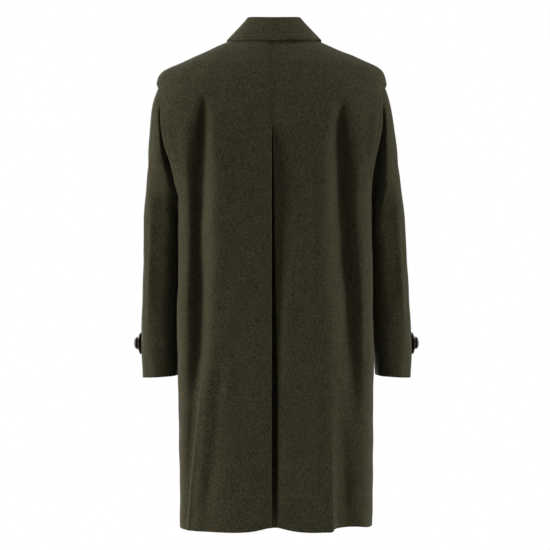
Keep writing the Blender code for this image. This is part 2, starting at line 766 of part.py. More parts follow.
def make_collar(name, material):
    end = math.radians(COLLAR.keys[-1])
    turns = [mix(-end, end, k / COLLAR_COLUMNS) for k in range(COLLAR_COLUMNS + 1)]
    points = [collar_section(turn) for turn in turns]
    middle_of_fall = (COLLAR_COLUMNS // 2, 6)
    cloth_wall(name, points, grid_normals(points, (middle_of_fall, (0, 1, 0))), COLLAR_CLOTH, material)


def station_at(height):
    """The ring of the sleeve whose outer line is at this height."""
    return float(np.interp(-height, -SLEEVE_RINGS.values[:, 2], SLEEVE_RINGS.keys))


def strap_point(side, share, across):
    """A strap's middle: the sleeve's own points moved out, standing off towards the free tip."""
    angle = mix(STRAP_ROOT, STRAP_TIP, share)
    narrowing = smooth((share - 1 + STRAP_POINT_SHARE) / STRAP_POINT_SHARE)
    half_width = (STRAP_TOP - STRAP_BOTTOM) / 2 * mix(1, STRAP_POINT_WIDTH, narrowing)
    station = station_at((STRAP_TOP + STRAP_BOTTOM) / 2 + across * half_width)
    rest = CLOTH / 2 + STRAP_CLEARANCE + STRAP_CLOTH / 2
    lift = STRAP_LIFT * smooth((share - STRAP_LIFTS_FROM) / (1 - STRAP_LIFTS_FROM))
    normal = sleeve_normal(side, station, angle)
    return sleeve_point(side, station, angle) + normal * (rest + lift)


def make_strap(name, side, material):
    points = [
        [strap_point(side, k / STRAP_COLUMNS, mix(-1, 1, j / STRAP_ROWS)) for j in range(STRAP_ROWS + 1)]
        for k in range(STRAP_COLUMNS + 1)
    ]
    normals = grid_normals(points, ((STRAP_COLUMNS, 0), (side, 0, 0)))
    cloth_wall(name, points, normals, STRAP_CLOTH, material)
    place = round(CUFF_BUTTON_SHARE * STRAP_COLUMNS)
    return points[place][STRAP_ROWS // 2], normals[place][STRAP_ROWS // 2]


def make_button(name, seat, axis, material):
    """A domed button turned about its axis, with a shank that stands just clear of the cloth."""
    profile = (
        (0.000, BUTTON_SHANK + BUTTON_HEIGHT),
        (0.50, BUTTON_SHANK + BUTTON_HEIGHT * 0.90),
        (0.85, BUTTON_SHANK + BUTTON_HEIGHT * 0.60),
        (1.00, BUTTON_SHANK + BUTTON_HEIGHT * 0.30),
        (0.92, BUTTON_SHANK + BUTTON_HEIGHT * 0.06),
        (0.30, BUTTON_SHANK),
        (0.26, 0.0),
        (0.000, 0.0),
    )
    form = bmesh.new()
    verts = [form.verts.new((r * BUTTON_RADIUS, 0, z)) for r, z in profile]
    for a, b in zip(verts, verts[1:]):
        form.edges.new((a, b))
    mesh = bpy.data.meshes.new(name)
    form.to_mesh(mesh)
    form.free()
    obj = new_object(name, mesh, material)
    screw = obj.modifiers.new("turn", "SCREW")
    screw.steps = screw.render_steps = BUTTON_SIDES
    screw.use_merge_vertices = True
    screw.merge_threshold = 0.0001
    screw.use_normal_calculate = True
    obj.matrix_world = Matrix.Translation(seat) @ axis.to_track_quat("Z", "Y").to_matrix().to_4x4()
    return obj


def make_front_buttons(material):
    """The buttons sit on the left front, on the line of centre front."""
    for number, height in enumerate(FRONT_BUTTON_HEIGHTS, 1):
        normal = body_normal(1, 2, height)
        seat = body_point(1, 2, height) + normal * (CLOTH / 2 + BUTTON_CLEARANCE)
        make_button(f"front_button_{number}", seat, normal, material)


def make_material(name, colour, roughness):
    material = bpy.data.materials.new(name)
    material.use_nodes = True
    shader = material.node_tree.nodes["Principled BSDF"]
    shader.inputs["Base Color"].default_value = (*colour, 1)
    shader.inputs["Roughness"].default_value = roughness
    shader.inputs["Metallic"].default_value = 0
    return material


def main():
    for obj in list(bpy.data.objects):
        bpy.data.objects.remove(obj)
    bpy.context.scene.collection.children.link(bpy.data.collections.new("coat"))
    loden = make_material("loden_green", LODEN_GREEN, 0.95)
    leather = make_material("leather_brown", LEATHER_BROWN, 0.45)
    make_pleat_underlay("pleat_underlay", loden)
    make_collar("collar", loden)
    make_front_buttons(leather)
    for side, word in ((1, "left"), (-1, "right")):
        make_back(f"back_{word}", side, loden)
        make_front(f"front_{word}", side, loden)
        make_sleeve_panel(f"sleeve_top_{word}", side, FORE_SEAM, HIND_SEAM, loden)
        make_sleeve_panel(f"sleeve_under_{word}", side, HIND_SEAM, FORE_SEAM + 2 * math.pi, loden)
        seat, axis = make_strap(f"cuff_strap_{word}", side, leather)
        make_button(f"cuff_button_{word}", seat + axis * (STRAP_CLOTH / 2 + SEAM_GAP), axis, leather)


main()
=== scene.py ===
# %% [markdown]
# # A knee-length loden coat
# The coat hangs filled out, as if someone wore it, and the camera stands behind it. Every piece of
# cloth is cut, draped on the coat's form and given its thickness here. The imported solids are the
# frame that all of it has to fit.

# %% Load the frame
import math

import bpy
import numpy as np
from mathutils import Matrix, Vector


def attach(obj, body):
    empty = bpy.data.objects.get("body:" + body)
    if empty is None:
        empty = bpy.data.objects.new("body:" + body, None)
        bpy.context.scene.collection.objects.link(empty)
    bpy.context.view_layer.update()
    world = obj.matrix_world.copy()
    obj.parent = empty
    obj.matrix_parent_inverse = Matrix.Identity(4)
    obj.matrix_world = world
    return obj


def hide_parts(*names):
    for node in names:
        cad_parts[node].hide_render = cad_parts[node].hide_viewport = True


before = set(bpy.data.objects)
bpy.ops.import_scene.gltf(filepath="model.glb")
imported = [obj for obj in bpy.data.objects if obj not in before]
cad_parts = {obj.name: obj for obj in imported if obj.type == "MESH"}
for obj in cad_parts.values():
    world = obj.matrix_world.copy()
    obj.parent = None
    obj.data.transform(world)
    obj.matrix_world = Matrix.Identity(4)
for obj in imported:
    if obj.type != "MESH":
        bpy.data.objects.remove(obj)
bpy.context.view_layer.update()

# %% [markdown]
# ## Camera and studio
# The lens is long and level with the middle of the coat, so that shoulders and hem are seen straight
# on. A white surround lights the cloth faintly from everywhere, and a soft lamp to each side grazes
# the back, so that the folds throw shadows: the stronger one stands to the left of the camera. A
# third lamp overhead brightens the shoulders, and a fourth lights the front for other views.

# %% Camera
CAMERA_X = -0.002
CAMERA_DISTANCE = 3.6
CAMERA_HEIGHT = -0.505
LENS_LENGTH = 110.6
SENSOR_WIDTH = 36
CLIP_END = 60


def aim(obj, target):
    """Turn a lamp or camera so that it looks at a point."""
    obj.rotation_euler = (Vector(target) - obj.location).to_track_quat("-Z", "Y").to_euler()


bpy.ops.object.select_all(action="DESELECT")
bpy.ops.object.camera_add(location=(CAMERA_X, CAMERA_DISTANCE, CAMERA_HEIGHT))
camera = bpy.context.object
camera.data.lens = LENS_LENGTH
camera.data.sensor_width = SENSOR_WIDTH
camera.data.clip_end = CLIP_END
aim(camera, (CAMERA_X, 0, CAMERA_HEIGHT))
bpy.context.scene.camera = camera
bpy.context.scene.view_settings.view_transform = "Standard"
print("camera at", tuple(round(v, 3) for v in camera.location))

# %% Floor and light
FLOOR_SIZE = 4.4
FLOOR_HEIGHT = -1.50
SURROUND_LIGHT = 0.24
LAMPS_AIM_AT = (0, 0, -0.5)

bpy.ops.mesh.primitive_plane_add(size=FLOOR_SIZE, location=(0, 0, FLOOR_HEIGHT))
floor = bpy.context.object
floor.name = "studio_floor"
floor_paint = bpy.data.materials.new("studio_white")
floor_paint.use_nodes = True
floor_shader = floor_paint.node_tree.nodes["Principled BSDF"]
floor_shader.inputs["Base Color"].default_value = (0.9, 0.9, 0.9, 1)
floor_shader.inputs["Roughness"].default_value = 0.9
floor.data.materials.append(floor_paint)

surround = bpy.data.worlds.new("white_surround")
surround.use_nodes = True
sky = surround.node_tree
sky.nodes["Background"].inputs["Color"].default_value = (1, 1, 1, 1)
seen = sky.nodes.new("ShaderNodeLightPath")
strength = sky.nodes.new("ShaderNodeMapRange")
strength.inputs["To Min"].default_value = SURROUND_LIGHT
strength.inputs["To Max"].default_value = 1.0
sky.links.new(seen.outputs["Is Camera Ray"], strength.inputs["Value"])
sky.links.new(strength.outputs["Result"], sky.nodes["Background"].inputs["Strength"])
bpy.context.scene.world = surround


def soft_lamp(name, place, size, power):
    """A large square lamp aimed at the coat."""
    bpy.ops.object.light_add(type="AREA", location=place)
    lamp = bpy.context.object
    lamp.name = name
    lamp.data.size = size
    lamp.data.energy = power
    aim(lamp, LAMPS_AIM_AT)


soft_lamp("key_lamp", (3.0, 0.60, 0.1), 1.5, 215)
soft_lamp("fill_lamp", (-3.0, 0.66, 0.1), 1.1, 150)
soft_lamp("top_lamp", (0, 0.4, 2.6), 1.6, 95)
soft_lamp("front_lamp", (1.1, -3.0, 0.5), 1.6, 120)
print("studio ready")

# %% [markdown]
# ## The coat's form
# A tailor drapes cloth on a form. Here the form is a chart of level girths from the neck to the hem,
# each with its half widths, its depths behind and before the shoulder seam and how boxy it is. Reading
# the chart on a smooth curve gives a point of the form at any height and any way round.

# %% Charts
MM_IN_A_METRE = 1000


class Chart:
    """Rows of sizes, read at any key on a smooth curve that never overshoots the rows."""

    def __init__(self, *rows):
        data = np.array(sorted(rows), float)
        self.keys, self.values = data[:, 0], data[:, 1:]
        slopes = np.diff(self.values, axis=0) / np.diff(self.keys)[:, None]
        product, total = slopes[:-1] * slopes[1:], slopes[:-1] + slopes[1:]
        inner = np.where(product > 0, 2 * product / np.where(total == 0, 1, total), 0)
        self.slopes = np.vstack([slopes[:1], inner, slopes[-1:]])

    def at(self, key):
        key = np.asarray(key, float)
        i = np.clip(np.searchsorted(self.keys, key) - 1, 0, len(self.keys) - 2)
        step = (self.keys[i + 1] - self.keys[i])[..., None]
        t = (key - self.keys[i])[..., None] / step
        found = (
            self.values[i] * (1 + 2 * t) * (1 - t) ** 2
            + self.values[i + 1] * t * t * (3 - 2 * t)
            + step * t * (1 - t) * (self.slopes[i] * (1 - t) - self.slopes[i + 1] * t)
        )
        return np.moveaxis(found, -1, 0)


def mm_chart(*rows):
    """A chart of lengths alone, written in millimetres."""
    return Chart(*(np.array(rows) / MM_IN_A_METRE).tolist())


# The cloth laid here, and the cloth of the solids, whose layers and gaps it keeps to
CLOTH = 0.0024
SOLID_CLOTH = 0.0025
HEM = -1.034

# height, half width left, half width right, depth behind, depth before, boxiness
GIRTHS = Chart(
    (0.000, 0.074, 0.074, 0.070, 0.064, 2.0),
    (-0.034, 0.148, 0.151, 0.090, 0.081, 2.1),
    (-0.051, 0.188, 0.191, 0.097, 0.090, 2.15),
    (-0.068, 0.226, 0.225, 0.103, 0.098, 2.25),
    (-0.076, 0.238, 0.232, 0.105, 0.102, 2.3),
    (-0.088, 0.246, 0.236, 0.109, 0.107, 2.4),
    (-0.104, 0.249, 0.239, 0.113, 0.113, 2.5),
    (-0.150, 0.263, 0.252, 0.121, 0.125, 2.8),
    (-0.190, 0.264, 0.255, 0.126, 0.133, 3.0),
    (-0.228, 0.259, 0.249, 0.128, 0.138, 3.0),
    (-0.271, 0.237, 0.231, 0.128, 0.140, 3.0),
    (-0.313, 0.219, 0.217, 0.126, 0.140, 2.9),
    (-0.347, 0.2045, 0.2085, 0.124, 0.140, 2.9),
    (-0.392, 0.203, 0.207, 0.122, 0.139, 2.85),
    (-0.450, 0.203, 0.208, 0.121, 0.138, 2.8),
    (-0.620, 0.204, 0.209, 0.126, 0.140, 2.7),
    (-0.770, 0.202, 0.210, 0.134, 0.144, 2.6),
    (-0.900, 0.200, 0.209, 0.141, 0.148, 2.55),
    (HEM, 0.197, 0.207, 0.147, 0.151, 2.5),
)

# All charts made by mm_chart are in millimetres, with the hem at -1034.
# height, where the back ends beside the arm, where the front ends there
SIDE_EDGES = mm_chart(
    (0, 0, 0), (-100, 0, 0), (-106, 34, -30), (-122, 58, -52), (-150, 74, -70), (-190, 84, -82),
    (-228, 86.5, -88), (-271, 80, -90), (-313, 66, -84), (-347, 44, -70), (-375, 2, -46),
    (-392, -24, -24), (-1034, -24, -24),
)

# height, opening of the centre back pleat, depth of its turned-under cloth, sag of the underlay
PLEAT = mm_chart(
    (0, -0.4, 14, 3), (-190, -0.2, 17, 4), (-225, 1.4, 20, 8), (-300, 2.6, 40, 12),
    (-400, 4.4, 46, 15), (-556, 8.2, 54, 20), (-762, 11.2, 59, 26), (-1034, 11.2, 62, 30),
)
# height, how far the right half of the back falls in beside the pleat, half width of that fall
PLEAT_FALL = mm_chart(
    (0, 0, 30), (-185, 0, 34), (-225, 7, 42), (-250, 11, 44), (-309, 13, 42), (-371, 13, 37),
    (-454, 12, 29), (-556, 11, 20), (-660, 9, 15), (-1034, 6, 11),
)
PLEAT_FALL_PLACE = -0.003
# The pleat's left fold edge hangs straight down from here; the right one stands away from it.
PLEAT_LEFT_EDGE = 0.0047
print("charts:", len(GIRTHS.keys), "girths from", GIRTHS.keys[-1], "to", GIRTHS.keys[0])

# %% [markdown]
# The large folds stand out of the plain girth as soft ridges and troughs. They are the photo's main
# folds: a long trough inside each shoulder flange, a ridge that runs down from it to the hem, and a
# hollow at the pleat. Each has rows of height, place across, depth and half width. On the back a fold
# runs out more softly towards the middle than towards the side.

# %% Large folds
FOLD_INNER_SOFTNESS = 1.4
BACK_FOLDS = {
    "left_trough": mm_chart(
        (-130, 142, 0, 8), (-165, 145, -13, 9), (-186, 148, -21, 10.5), (-248, 152, -29, 13.5),
        (-309, 154.5, -31, 15), (-454, 155.5, -31, 15), (-557, 156, -27, 15), (-660, 157, -18, 14.5),
        (-765, 160, 0, 14),
    ),
    "left_ridge": mm_chart(
        (-170, 122, 0, 14), (-248, 121, 3, 14), (-454, 123, 5, 15), (-557, 129, 6, 14),
        (-660, 137, 7, 13), (-763, 144, 8, 12), (-866, 152, 8, 12), (-1060, 163, 8, 12),
    ),
    "left_hollow": mm_chart(
        (-720, 165, 0, 10), (-800, 169, -3, 10), (-900, 177, -4, 9), (-1060, 186, -3, 8),
    ),
    "left_side": mm_chart(
        (-420, 192, 0, 15), (-520, 192, 12, 15), (-700, 191, 20, 15), (-1060, 189, 21, 15),
    ),
    "right_trough": mm_chart(
        (-138, -143, 0, 10), (-170, -143.5, -14, 11.5), (-186, -144, -22, 13), (-248, -145, -33, 16),
        (-309, -145.5, -36, 17.5), (-371, -146, -36, 19), (-454, -150, -36, 20),
        (-557, -155.5, -31, 20), (-660, -159, -20, 19), (-742, -162, -8, 18), (-830, -164, 0, 18),
    ),
    "right_ridge": mm_chart(
        (-500, -114, 0, 14), (-763, -117, 4, 12), (-866, -119, 7, 11), (-1060, -120, 11, 10),
    ),
    "right_fall": mm_chart(
        (-720, -140, 0, 22), (-866, -140, -7, 22), (-1060, -141, -14, 23),
    ),
    "right_side": mm_chart(
        (-420, -197, 0, 17), (-520, -197, 11, 17), (-700, -197, 17, 18), (-1060, -195, 18, 19),
    ),
    "centre_hollow": mm_chart(
        (-280, 0, 0, 50), (-600, 0, -8, 58), (-850, 0, -15, 66), (-1060, 0, -21, 72),
    ),
}
FRONT_FOLDS = {
    "left_trough": mm_chart(
        (-220, 140, 0, 24), (-330, 143, -15, 24), (-560, 149, -10, 23), (-800, 156, 0, 22),
    ),
    "right_trough": mm_chart(
        (-220, -138, 0, 24), (-350, -141, -13, 24), (-600, -147, -9, 23), (-780, -153, 0, 22),
    ),
    "left_ridge": mm_chart(
        (-480, 104, 0, 22), (-800, 116, 8, 20), (-1060, 126, 13, 19),
    ),
    "right_ridge": mm_chart(
        (-520, -100, 0, 22), (-820, -110, 7, 20), (-1060, -117, 12, 19),
    ),
}
FOLD_FADES_WITHIN = 0.045


def smooth(share):
    share = np.clip(share, 0, 1)
    return share * share * (3 - 2 * share)


def mix(start, end, share):
    return start + (end - start) * share


def fold_depth(face, x, height):
    """How far the large folds stand out of the plain girth."""
    total = np.zeros(np.shape(x))
    for sign, folds in ((1, BACK_FOLDS), (-1, FRONT_FOLDS)):
        for fold in folds.values():
            low, high = fold.keys[0], fold.keys[-1]
            place, depth, width = fold.at(np.clip(height, low, high))
            here = (face == sign) & (low < height) & (height < high)
            if sign > 0:
                width = np.where(np.abs(x) < np.abs(place), width * FOLD_INNER_SOFTNESS, width)
            total += np.where(here, depth * np.exp(-(((x - place) / width) ** 2)), 0)
    return total


print("large folds:", len(BACK_FOLDS) + len(FRONT_FOLDS))

# %% Points of the form
QUARTER_TURN = np.linspace(0, math.pi / 2, 301)
AROUND_STEP = 0.004
NUDGE = 0.001


def read_rows(place, keys, values):
    return np.array([np.interp(p, k, v) for p, k, v in zip(place, keys, values)])


def quarter(side, face, height):
    """Quarters of level girths from the middle to the side: x, y and the share of their length."""
    left, right, back, front, boxy = GIRTHS.at(height)
    half = np.where(side > 0, left, right)[:, None]
    depth = np.where(face > 0, back, front)[:, None]
    power = (2 / boxy)[:, None]
    x = half * np.sin(QUARTER_TURN) ** power
    y = depth * np.clip(np.cos(QUARTER_TURN), 0, 1) ** power
    steps = np.hypot(np.diff(x, axis=1), np.diff(y, axis=1))
    length = np.concatenate([np.zeros((len(x), 1)), np.cumsum(steps, axis=1)], axis=1)
    return x, y, length / length[:, -1:]


def form(side, around, height):
    """Points of the form. around is 0 at centre back, 1 at the side and 2 at centre front."""
    around, height = np.broadcast_arrays(np.atleast_1d(around).astype(float), height)
    crossed = (around < 0) | (around > 2)
    around = np.where(around > 2, 4 - around, np.abs(around))
    sides = np.where(crossed, -side, side)
    face = np.where(around <= 1, 1, -1)
    x, y, share = quarter(sides, face, height)
    place = np.where(face > 0, around, 2 - around)
    px, py = read_rows(place, share, x), read_rows(place, share, y)
    py = py + fold_depth(face, sides * px, height) * smooth(py / FOLD_FADES_WITHIN)
    pleat_middle = PLEAT_LEFT_EDGE - PLEAT.at(height)[0] / 2
    shift = np.where(face > 0, pleat_middle * (1 - (px / x[:, -1]) ** 2), 0)
    return np.stack([sides * px + shift, face * py, height], axis=-1)


def unit(vectors):
    return vectors / np.linalg.norm(vectors, axis=-1, keepdims=True)


def form_normal(side, around, height, surface=form):
    """Which way a surface faces, from its points a little to each side."""
    around, height = np.broadcast_arrays(np.atleast_1d(around).astype(float), height)
    across = surface(side, around + AROUND_STEP, height) - surface(side, around - AROUND_STEP, height)
    up = surface(side, around, height + NUDGE) - surface(side, around, height - NUDGE)
    return side * unit(np.cross(up, across))


def around_at_x(side, face, x, height):
    """The way round at which the form is this far from the middle."""
    x, height = np.broadcast_arrays(np.atleast_1d(x).astype(float), height)
    sides, faces = np.full(x.shape, side), np.full(x.shape, face)
    xs, _, share = quarter(sides, faces, height)
    place = read_rows(x, xs, share)
    return place if face > 0 else 2 - place


def around_at_y(side, y, height):
    """The way round at which the form crosses this depth beside the arm."""
    face = 1 if y >= 0 else -1
    _, ys, share = quarter(np.array([side]), np.array([face]), np.array([height]))
    place = float(np.interp(abs(y), ys[0, ::-1], share[0, ::-1]))
    return place if face > 0 else 2 - place


print("centre back at the hem:", form(1, 0.0, HEM)[0].round(3))

# %% [markdown]
# ## Laying a piece of cloth
# Each panel starts as a flat grid, like cloth on a cutting table, and every crossing of the grid is
# then moved to its place on the form. Solidify gives the cloth its thickness and a small bevel rounds
# the cut edge. Cloth simulation could drape the panels, but it would move them off the photo's folds,
# so the folds and creases are listed instead.

# %% Lay cloth
ROUNDED_FROM = math.radians(50)
SHARP_FROM = math.radians(65)
EDGE_ROUNDING = 0.0008
SLACK_DEPTH = 0.0005


def grid_normals(points, outward):
    """Unit normals of a grid of points, turned towards outward at the middle of the grid."""
    normals = unit(np.cross(np.gradient(points, axis=0), np.gradient(points, axis=1)))
    middle = normals[points.shape[0] // 2, points.shape[1] // 2]
    return normals if middle @ np.array(outward) > 0 else -normals


def lay_cloth(name, points, thickness, node, material, edge=EDGE_ROUNDING):
    """Move a flat grid onto points, give it thickness and let it stand for its solid."""
    rows, columns = points.shape[:2]
    bpy.ops.object.select_all(action="DESELECT")
    bpy.ops.mesh.primitive_grid_add(x_subdivisions=columns - 1, y_subdivisions=rows - 1, size=1)
    cloth = bpy.context.object
    cloth.name = cloth.data.name = name
    flat = np.empty(len(cloth.data.vertices) * 3)
    cloth.data.vertices.foreach_get("co", flat)
    flat = flat.reshape(-1, 3)
    column = np.rint((flat[:, 0] + 0.5) * (columns - 1)).astype(int)
    row = np.rint((flat[:, 1] + 0.5) * (rows - 1)).astype(int)
    cloth.data.vertices.foreach_set("co", points[row, column].ravel())
    cloth.data.update()
    solid = cloth.modifiers.new("thickness", "SOLIDIFY")
    solid.thickness = thickness
    solid.offset = 0
    rounding = cloth.modifiers.new("rounded_edge", "BEVEL")
    rounding.limit_method = "ANGLE"
    rounding.angle_limit = ROUNDED_FROM
    rounding.width = edge
    rounding.segments = 2
    for step in list(cloth.modifiers):
        bpy.ops.object.modifier_apply(modifier=step.name)
    bpy.ops.object.shade_smooth_by_angle(angle=SHARP_FROM)
    cloth.data.materials.append(material)
    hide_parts(node)
    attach(cloth, "root")
    return cloth


def lengths(points):
    """Distance along each row from its first point."""
    steps = np.linalg.norm(np.diff(points, axis=1), axis=2)
    return np.concatenate([np.zeros((len(points), 1)), np.cumsum(steps, axis=1)], axis=1)


def mark_sheet(cloth, points):
    """Measure the length of the flat cut that makes a piece of cloth; nothing is kept."""
    length = lengths(points.transpose(1, 0, 2))[:, -1].max()


def creases(rows, across, height):
    """Soft troughs and ridges on lines from (across, height) to (across, height)."""
    total = np.zeros(across.shape)
    for a0, h0, a1, h1, width, depth in rows:
        share = (h0 - height) / (h0 - h1)
        inside = np.clip(share, 0, 1)
        taper = np.sin(math.pi * inside) ** 0.7
        total += depth * taper * np.exp(-(((across - mix(a0, a1, inside)) / width) ** 2))
    return total


def slack(across, height):
    """Faint unevenness, so that no stretch of cloth is perfectly even."""
    return SLACK_DEPTH * (
        np.sin(61 * across + 17 * height + 0.4)
        + np.sin(37 * across - 29 * height + 1.9)
        + 0.8 * np.sin(113 * across + 41 * height + 2.7)
        + 0.6 * np.sin(19 * across + 83 * height + 0.8)
    )


print("cloth helpers ready")

# %% [markdown]
# ## Loden, leather and thread
# Loden is a felted wool with a short nap. Close to, it is a mix of dark green, olive and brown hairs
# that lie downwards; from afar it is one dark olive with a faint mottle. One node group makes that mix
# and the height of the hairs from noises of four sizes, and sheen on the shader gives the pale bloom
# where the cloth turns away.

# %% Node group: melange wool
def new_group(name, inputs, outputs):
    """An empty shader group with named sockets."""
    group = bpy.data.node_groups.new(name, "ShaderNodeTree")
    for kind, word, value in inputs:
        socket = group.interface.new_socket(word, in_out="INPUT", socket_type=kind)
        socket.default_value = value
    for kind, word in outputs:
        group.interface.new_socket(word, in_out="OUTPUT", socket_type=kind)
    return group, group.nodes.new("NodeGroupInput"), group.nodes.new("NodeGroupOutput")


def noise(group, coordinates, scale, detail, roughness):
    node = group.nodes.new("ShaderNodeTexNoise")
    node.inputs["Scale"].default_value = scale
    node.inputs["Detail"].default_value = detail
    node.inputs["Roughness"].default_value = roughness
    group.links.new(coordinates, node.inputs["Vector"])
    return node.outputs["Fac"]


def span(group, value, low, high, to_low=0.0, to_high=1.0):
    """Stretch the part of a value between low and high to a new range."""
    node = group.nodes.new("ShaderNodeMapRange")
    group.links.new(value, node.inputs["Value"])
    for word, number in (("From Min", low), ("From Max", high), ("To Min", to_low), ("To Max", to_high)):
        node.inputs[word].default_value = number
    return node.outputs["Result"]


def blend(group, factor, first, second, kind="MIX"):
    node = group.nodes.new("ShaderNodeMix")
    node.data_type = "RGBA"
    node.blend_type = kind
    for value, socket in ((factor, node.inputs[0]), (first, node.inputs[6]), (second, node.inputs[7])):
        if isinstance(value, (int, float)):
            socket.default_value = value
        else:
            group.links.new(value, socket)
    return node.outputs[2]


def sum_of(group, first, second, second_share):
    node = group.nodes.new("ShaderNodeMath")
    node.operation = "MULTIPLY_ADD"
    group.links.new(second, node.inputs[0])
    node.inputs[1].default_value = second_share
    group.links.new(first, node.inputs[2])
    return node.outputs[0]


wool, wool_in, wool_out = new_group(
    "Melange Wool",
    [
        ("NodeSocketColor", "Deep Green", (0.016, 0.016, 0.008, 1)),
        ("NodeSocketColor", "Olive", (0.040, 0.037, 0.020, 1)),
        ("NodeSocketColor", "Brown Hairs", (0.060, 0.048, 0.028, 1)),
    ],
    [("NodeSocketColor", "Color"), ("NodeSocketFloat", "Roughness"), ("NodeSocketFloat", "Height")],
)
place = wool.nodes.new("ShaderNodeTexCoord")
lie = wool.nodes.new("ShaderNodeMapping")
lie.inputs["Scale"].default_value = (1, 1, 0.4)
wool.links.new(place.outputs["Object"], lie.inputs["Vector"])
hairs = noise(wool, lie.outputs["Vector"], 900, 5, 0.7)
felt = noise(wool, place.outputs["Object"], 340, 3, 0.6)
cloud = noise(wool, place.outputs["Object"], 34, 3, 0.5)
fleck = noise(wool, lie.outputs["Vector"], 560, 2, 0.5)
mottle = sum_of(wool, span(wool, felt, 0.36, 0.64), span(wool, hairs, 0.36, 0.64), 0.6)
base = blend(wool, span(wool, mottle, 0.15, 1.45), wool_in.outputs["Deep Green"], wool_in.outputs["Olive"])
base = blend(wool, span(wool, fleck, 0.60, 0.72, 0, 0.55), base, wool_in.outputs["Brown Hairs"])
shade = wool.nodes.new("ShaderNodeCombineColor")
level = span(wool, cloud, 0.3, 0.7, 0.93, 1.07)
for word in ("Red", "Green", "Blue"):
    wool.links.new(level, shade.inputs[word])
base = blend(wool, 1.0, base, shade.outputs["Color"], "MULTIPLY")
wool.links.new(base, wool_out.inputs["Color"])
wool.links.new(span(wool, felt, 0.3, 0.7, 0.88, 1.0), wool_out.inputs["Roughness"])
wool.links.new(sum_of(wool, hairs, felt, 1.4), wool_out.inputs["Height"])
print("wool group nodes:", len(wool.nodes))

# %% Node group: leather grain
leather_grain, grain_in, grain_out = new_group(
    "Leather Grain",
    [
        ("NodeSocketColor", "Worn Brown", (0.030, 0.021, 0.015, 1)),
        ("NodeSocketColor", "Deep Brown", (0.009, 0.0065, 0.005, 1)),
    ],
    [("NodeSocketColor", "Color"), ("NodeSocketFloat", "Roughness"), ("NodeSocketFloat", "Height")],
)
place = leather_grain.nodes.new("ShaderNodeTexCoord")
pebbles = leather_grain.nodes.new("ShaderNodeTexVoronoi")
pebbles.inputs["Scale"].default_value = 900
leather_grain.links.new(place.outputs["Object"], pebbles.inputs["Vector"])
rub = noise(leather_grain, place.outputs["Object"], 160, 4, 0.6)
tone = blend(
    leather_grain,
    span(leather_grain, rub, 0.35, 0.7),
    grain_in.outputs["Deep Brown"],
    grain_in.outputs["Worn Brown"],
)
leather_grain.links.new(tone, grain_out.inputs["Color"])
leather_grain.links.new(span(leather_grain, rub, 0.3, 0.7, 0.62, 0.42), grain_out.inputs["Roughness"])
leather_grain.links.new(
    sum_of(leather_grain, pebbles.outputs["Distance"], rub, 0.6), grain_out.inputs["Height"]
)
print("leather group nodes:", len(leather_grain.nodes))

# %% Materials
def finish_material(name, group, colours, bump_strength, bump_depth, settings):
    """A Principled material fed by one of the groups, with its own colours, bump and settings."""
    material = bpy.data.materials.new(name)
    material.use_nodes = True
    nodes, links = material.node_tree.nodes, material.node_tree.links
    shader = nodes["Principled BSDF"]
    surface = nodes.new("ShaderNodeGroup")
    surface.node_tree = group
    for word, colour in colours.items():
        surface.inputs[word].default_value = (*colour, 1)
    bump = nodes.new("ShaderNodeBump")
    bump.inputs["Strength"].default_value = bump_strength
    bump.inputs["Distance"].default_value = bump_depth
    links.new(surface.outputs["Color"], shader.inputs["Base Color"])
    links.new(surface.outputs["Roughness"], shader.inputs["Roughness"])
    links.new(surface.outputs["Height"], bump.inputs["Height"])
    links.new(bump.outputs["Normal"], shader.inputs["Normal"])
    for word, value in settings.items():
        shader.inputs[word].default_value = value
    return material


loden = finish_material(
    "loden_olive",
    wool,
    {
        "Deep Green": (0.0042, 0.0041, 0.0018),
        "Olive": (0.0285, 0.0255, 0.0116),
        "Brown Hairs": (0.038, 0.031, 0.016),
    },
    0.35,
    0.0012,
    {
        "Sheen Weight": 0.05,
        "Sheen Roughness": 0.45,
        "Sheen Tint": (0.75, 0.74, 0.58, 1),
        "Specular IOR Level": 0.08,
    },
)
strap_leather = finish_material(
    "strap_leather",
    leather_grain,
    {"Worn Brown": (0.036, 0.0225, 0.0150), "Deep Brown": (0.0135, 0.0088, 0.0062)},
    0.4,
    0.0006,
    {"Specular IOR Level": 0.18},
)
button_leather = finish_material(
    "button_leather",
    leather_grain,
    {"Worn Brown": (0.036, 0.022, 0.0145), "Deep Brown": (0.012, 0.0078, 0.0054)},
    0.4,
    0.0005,
    {"Specular IOR Level": 0.30},
)
thread = finish_material(
    "olive_thread",
    wool,
    {
        "Deep Green": (0.018, 0.018, 0.010),
        "Olive": (0.036, 0.034, 0.019),
        "Brown Hairs": (0.040, 0.035, 0.022),
    },
    0.3,
    0.0004,
    {},
)
print("materials:", [m.name for m in (loden, strap_leather, button_leather, thread)])

# %% [markdown]
# ## The back
# The back is two halves. Each ends at the side in three ways: on the shoulder seam, then in a free
# flange that hangs over the sleeve, then on the side seam. At centre back its edge turns under and
# makes half of an inverted pleat, sewn shut near the neck and open at the hem.

# %% Back rows
SIDES = ((1, "left"), (-1, "right"))
LAYER_GAP = 0.0008
TURN_RADIUS = (SOLID_CLOTH + LAYER_GAP) / 2
SEAM_GAP = 0.0003
# Rows lie closer from the waist up, and closest where the flange leaves the shoulder seam.
FINE_FROM = -0.42
PANEL_ROWS = np.concatenate([
    np.linspace(HEM, FINE_FROM, 120, endpoint=False),
    np.linspace(FINE_FROM, -0.125, 72, endpoint=False),
    np.linspace(-0.125, -0.086, 20, endpoint=False),
    np.linspace(-0.086, 0.0, 30),
])
TURN_ANGLES = np.linspace(0, math.pi, 9)[1:]
RETURN_SHARES = np.linspace(0, 1, 11)[1:]
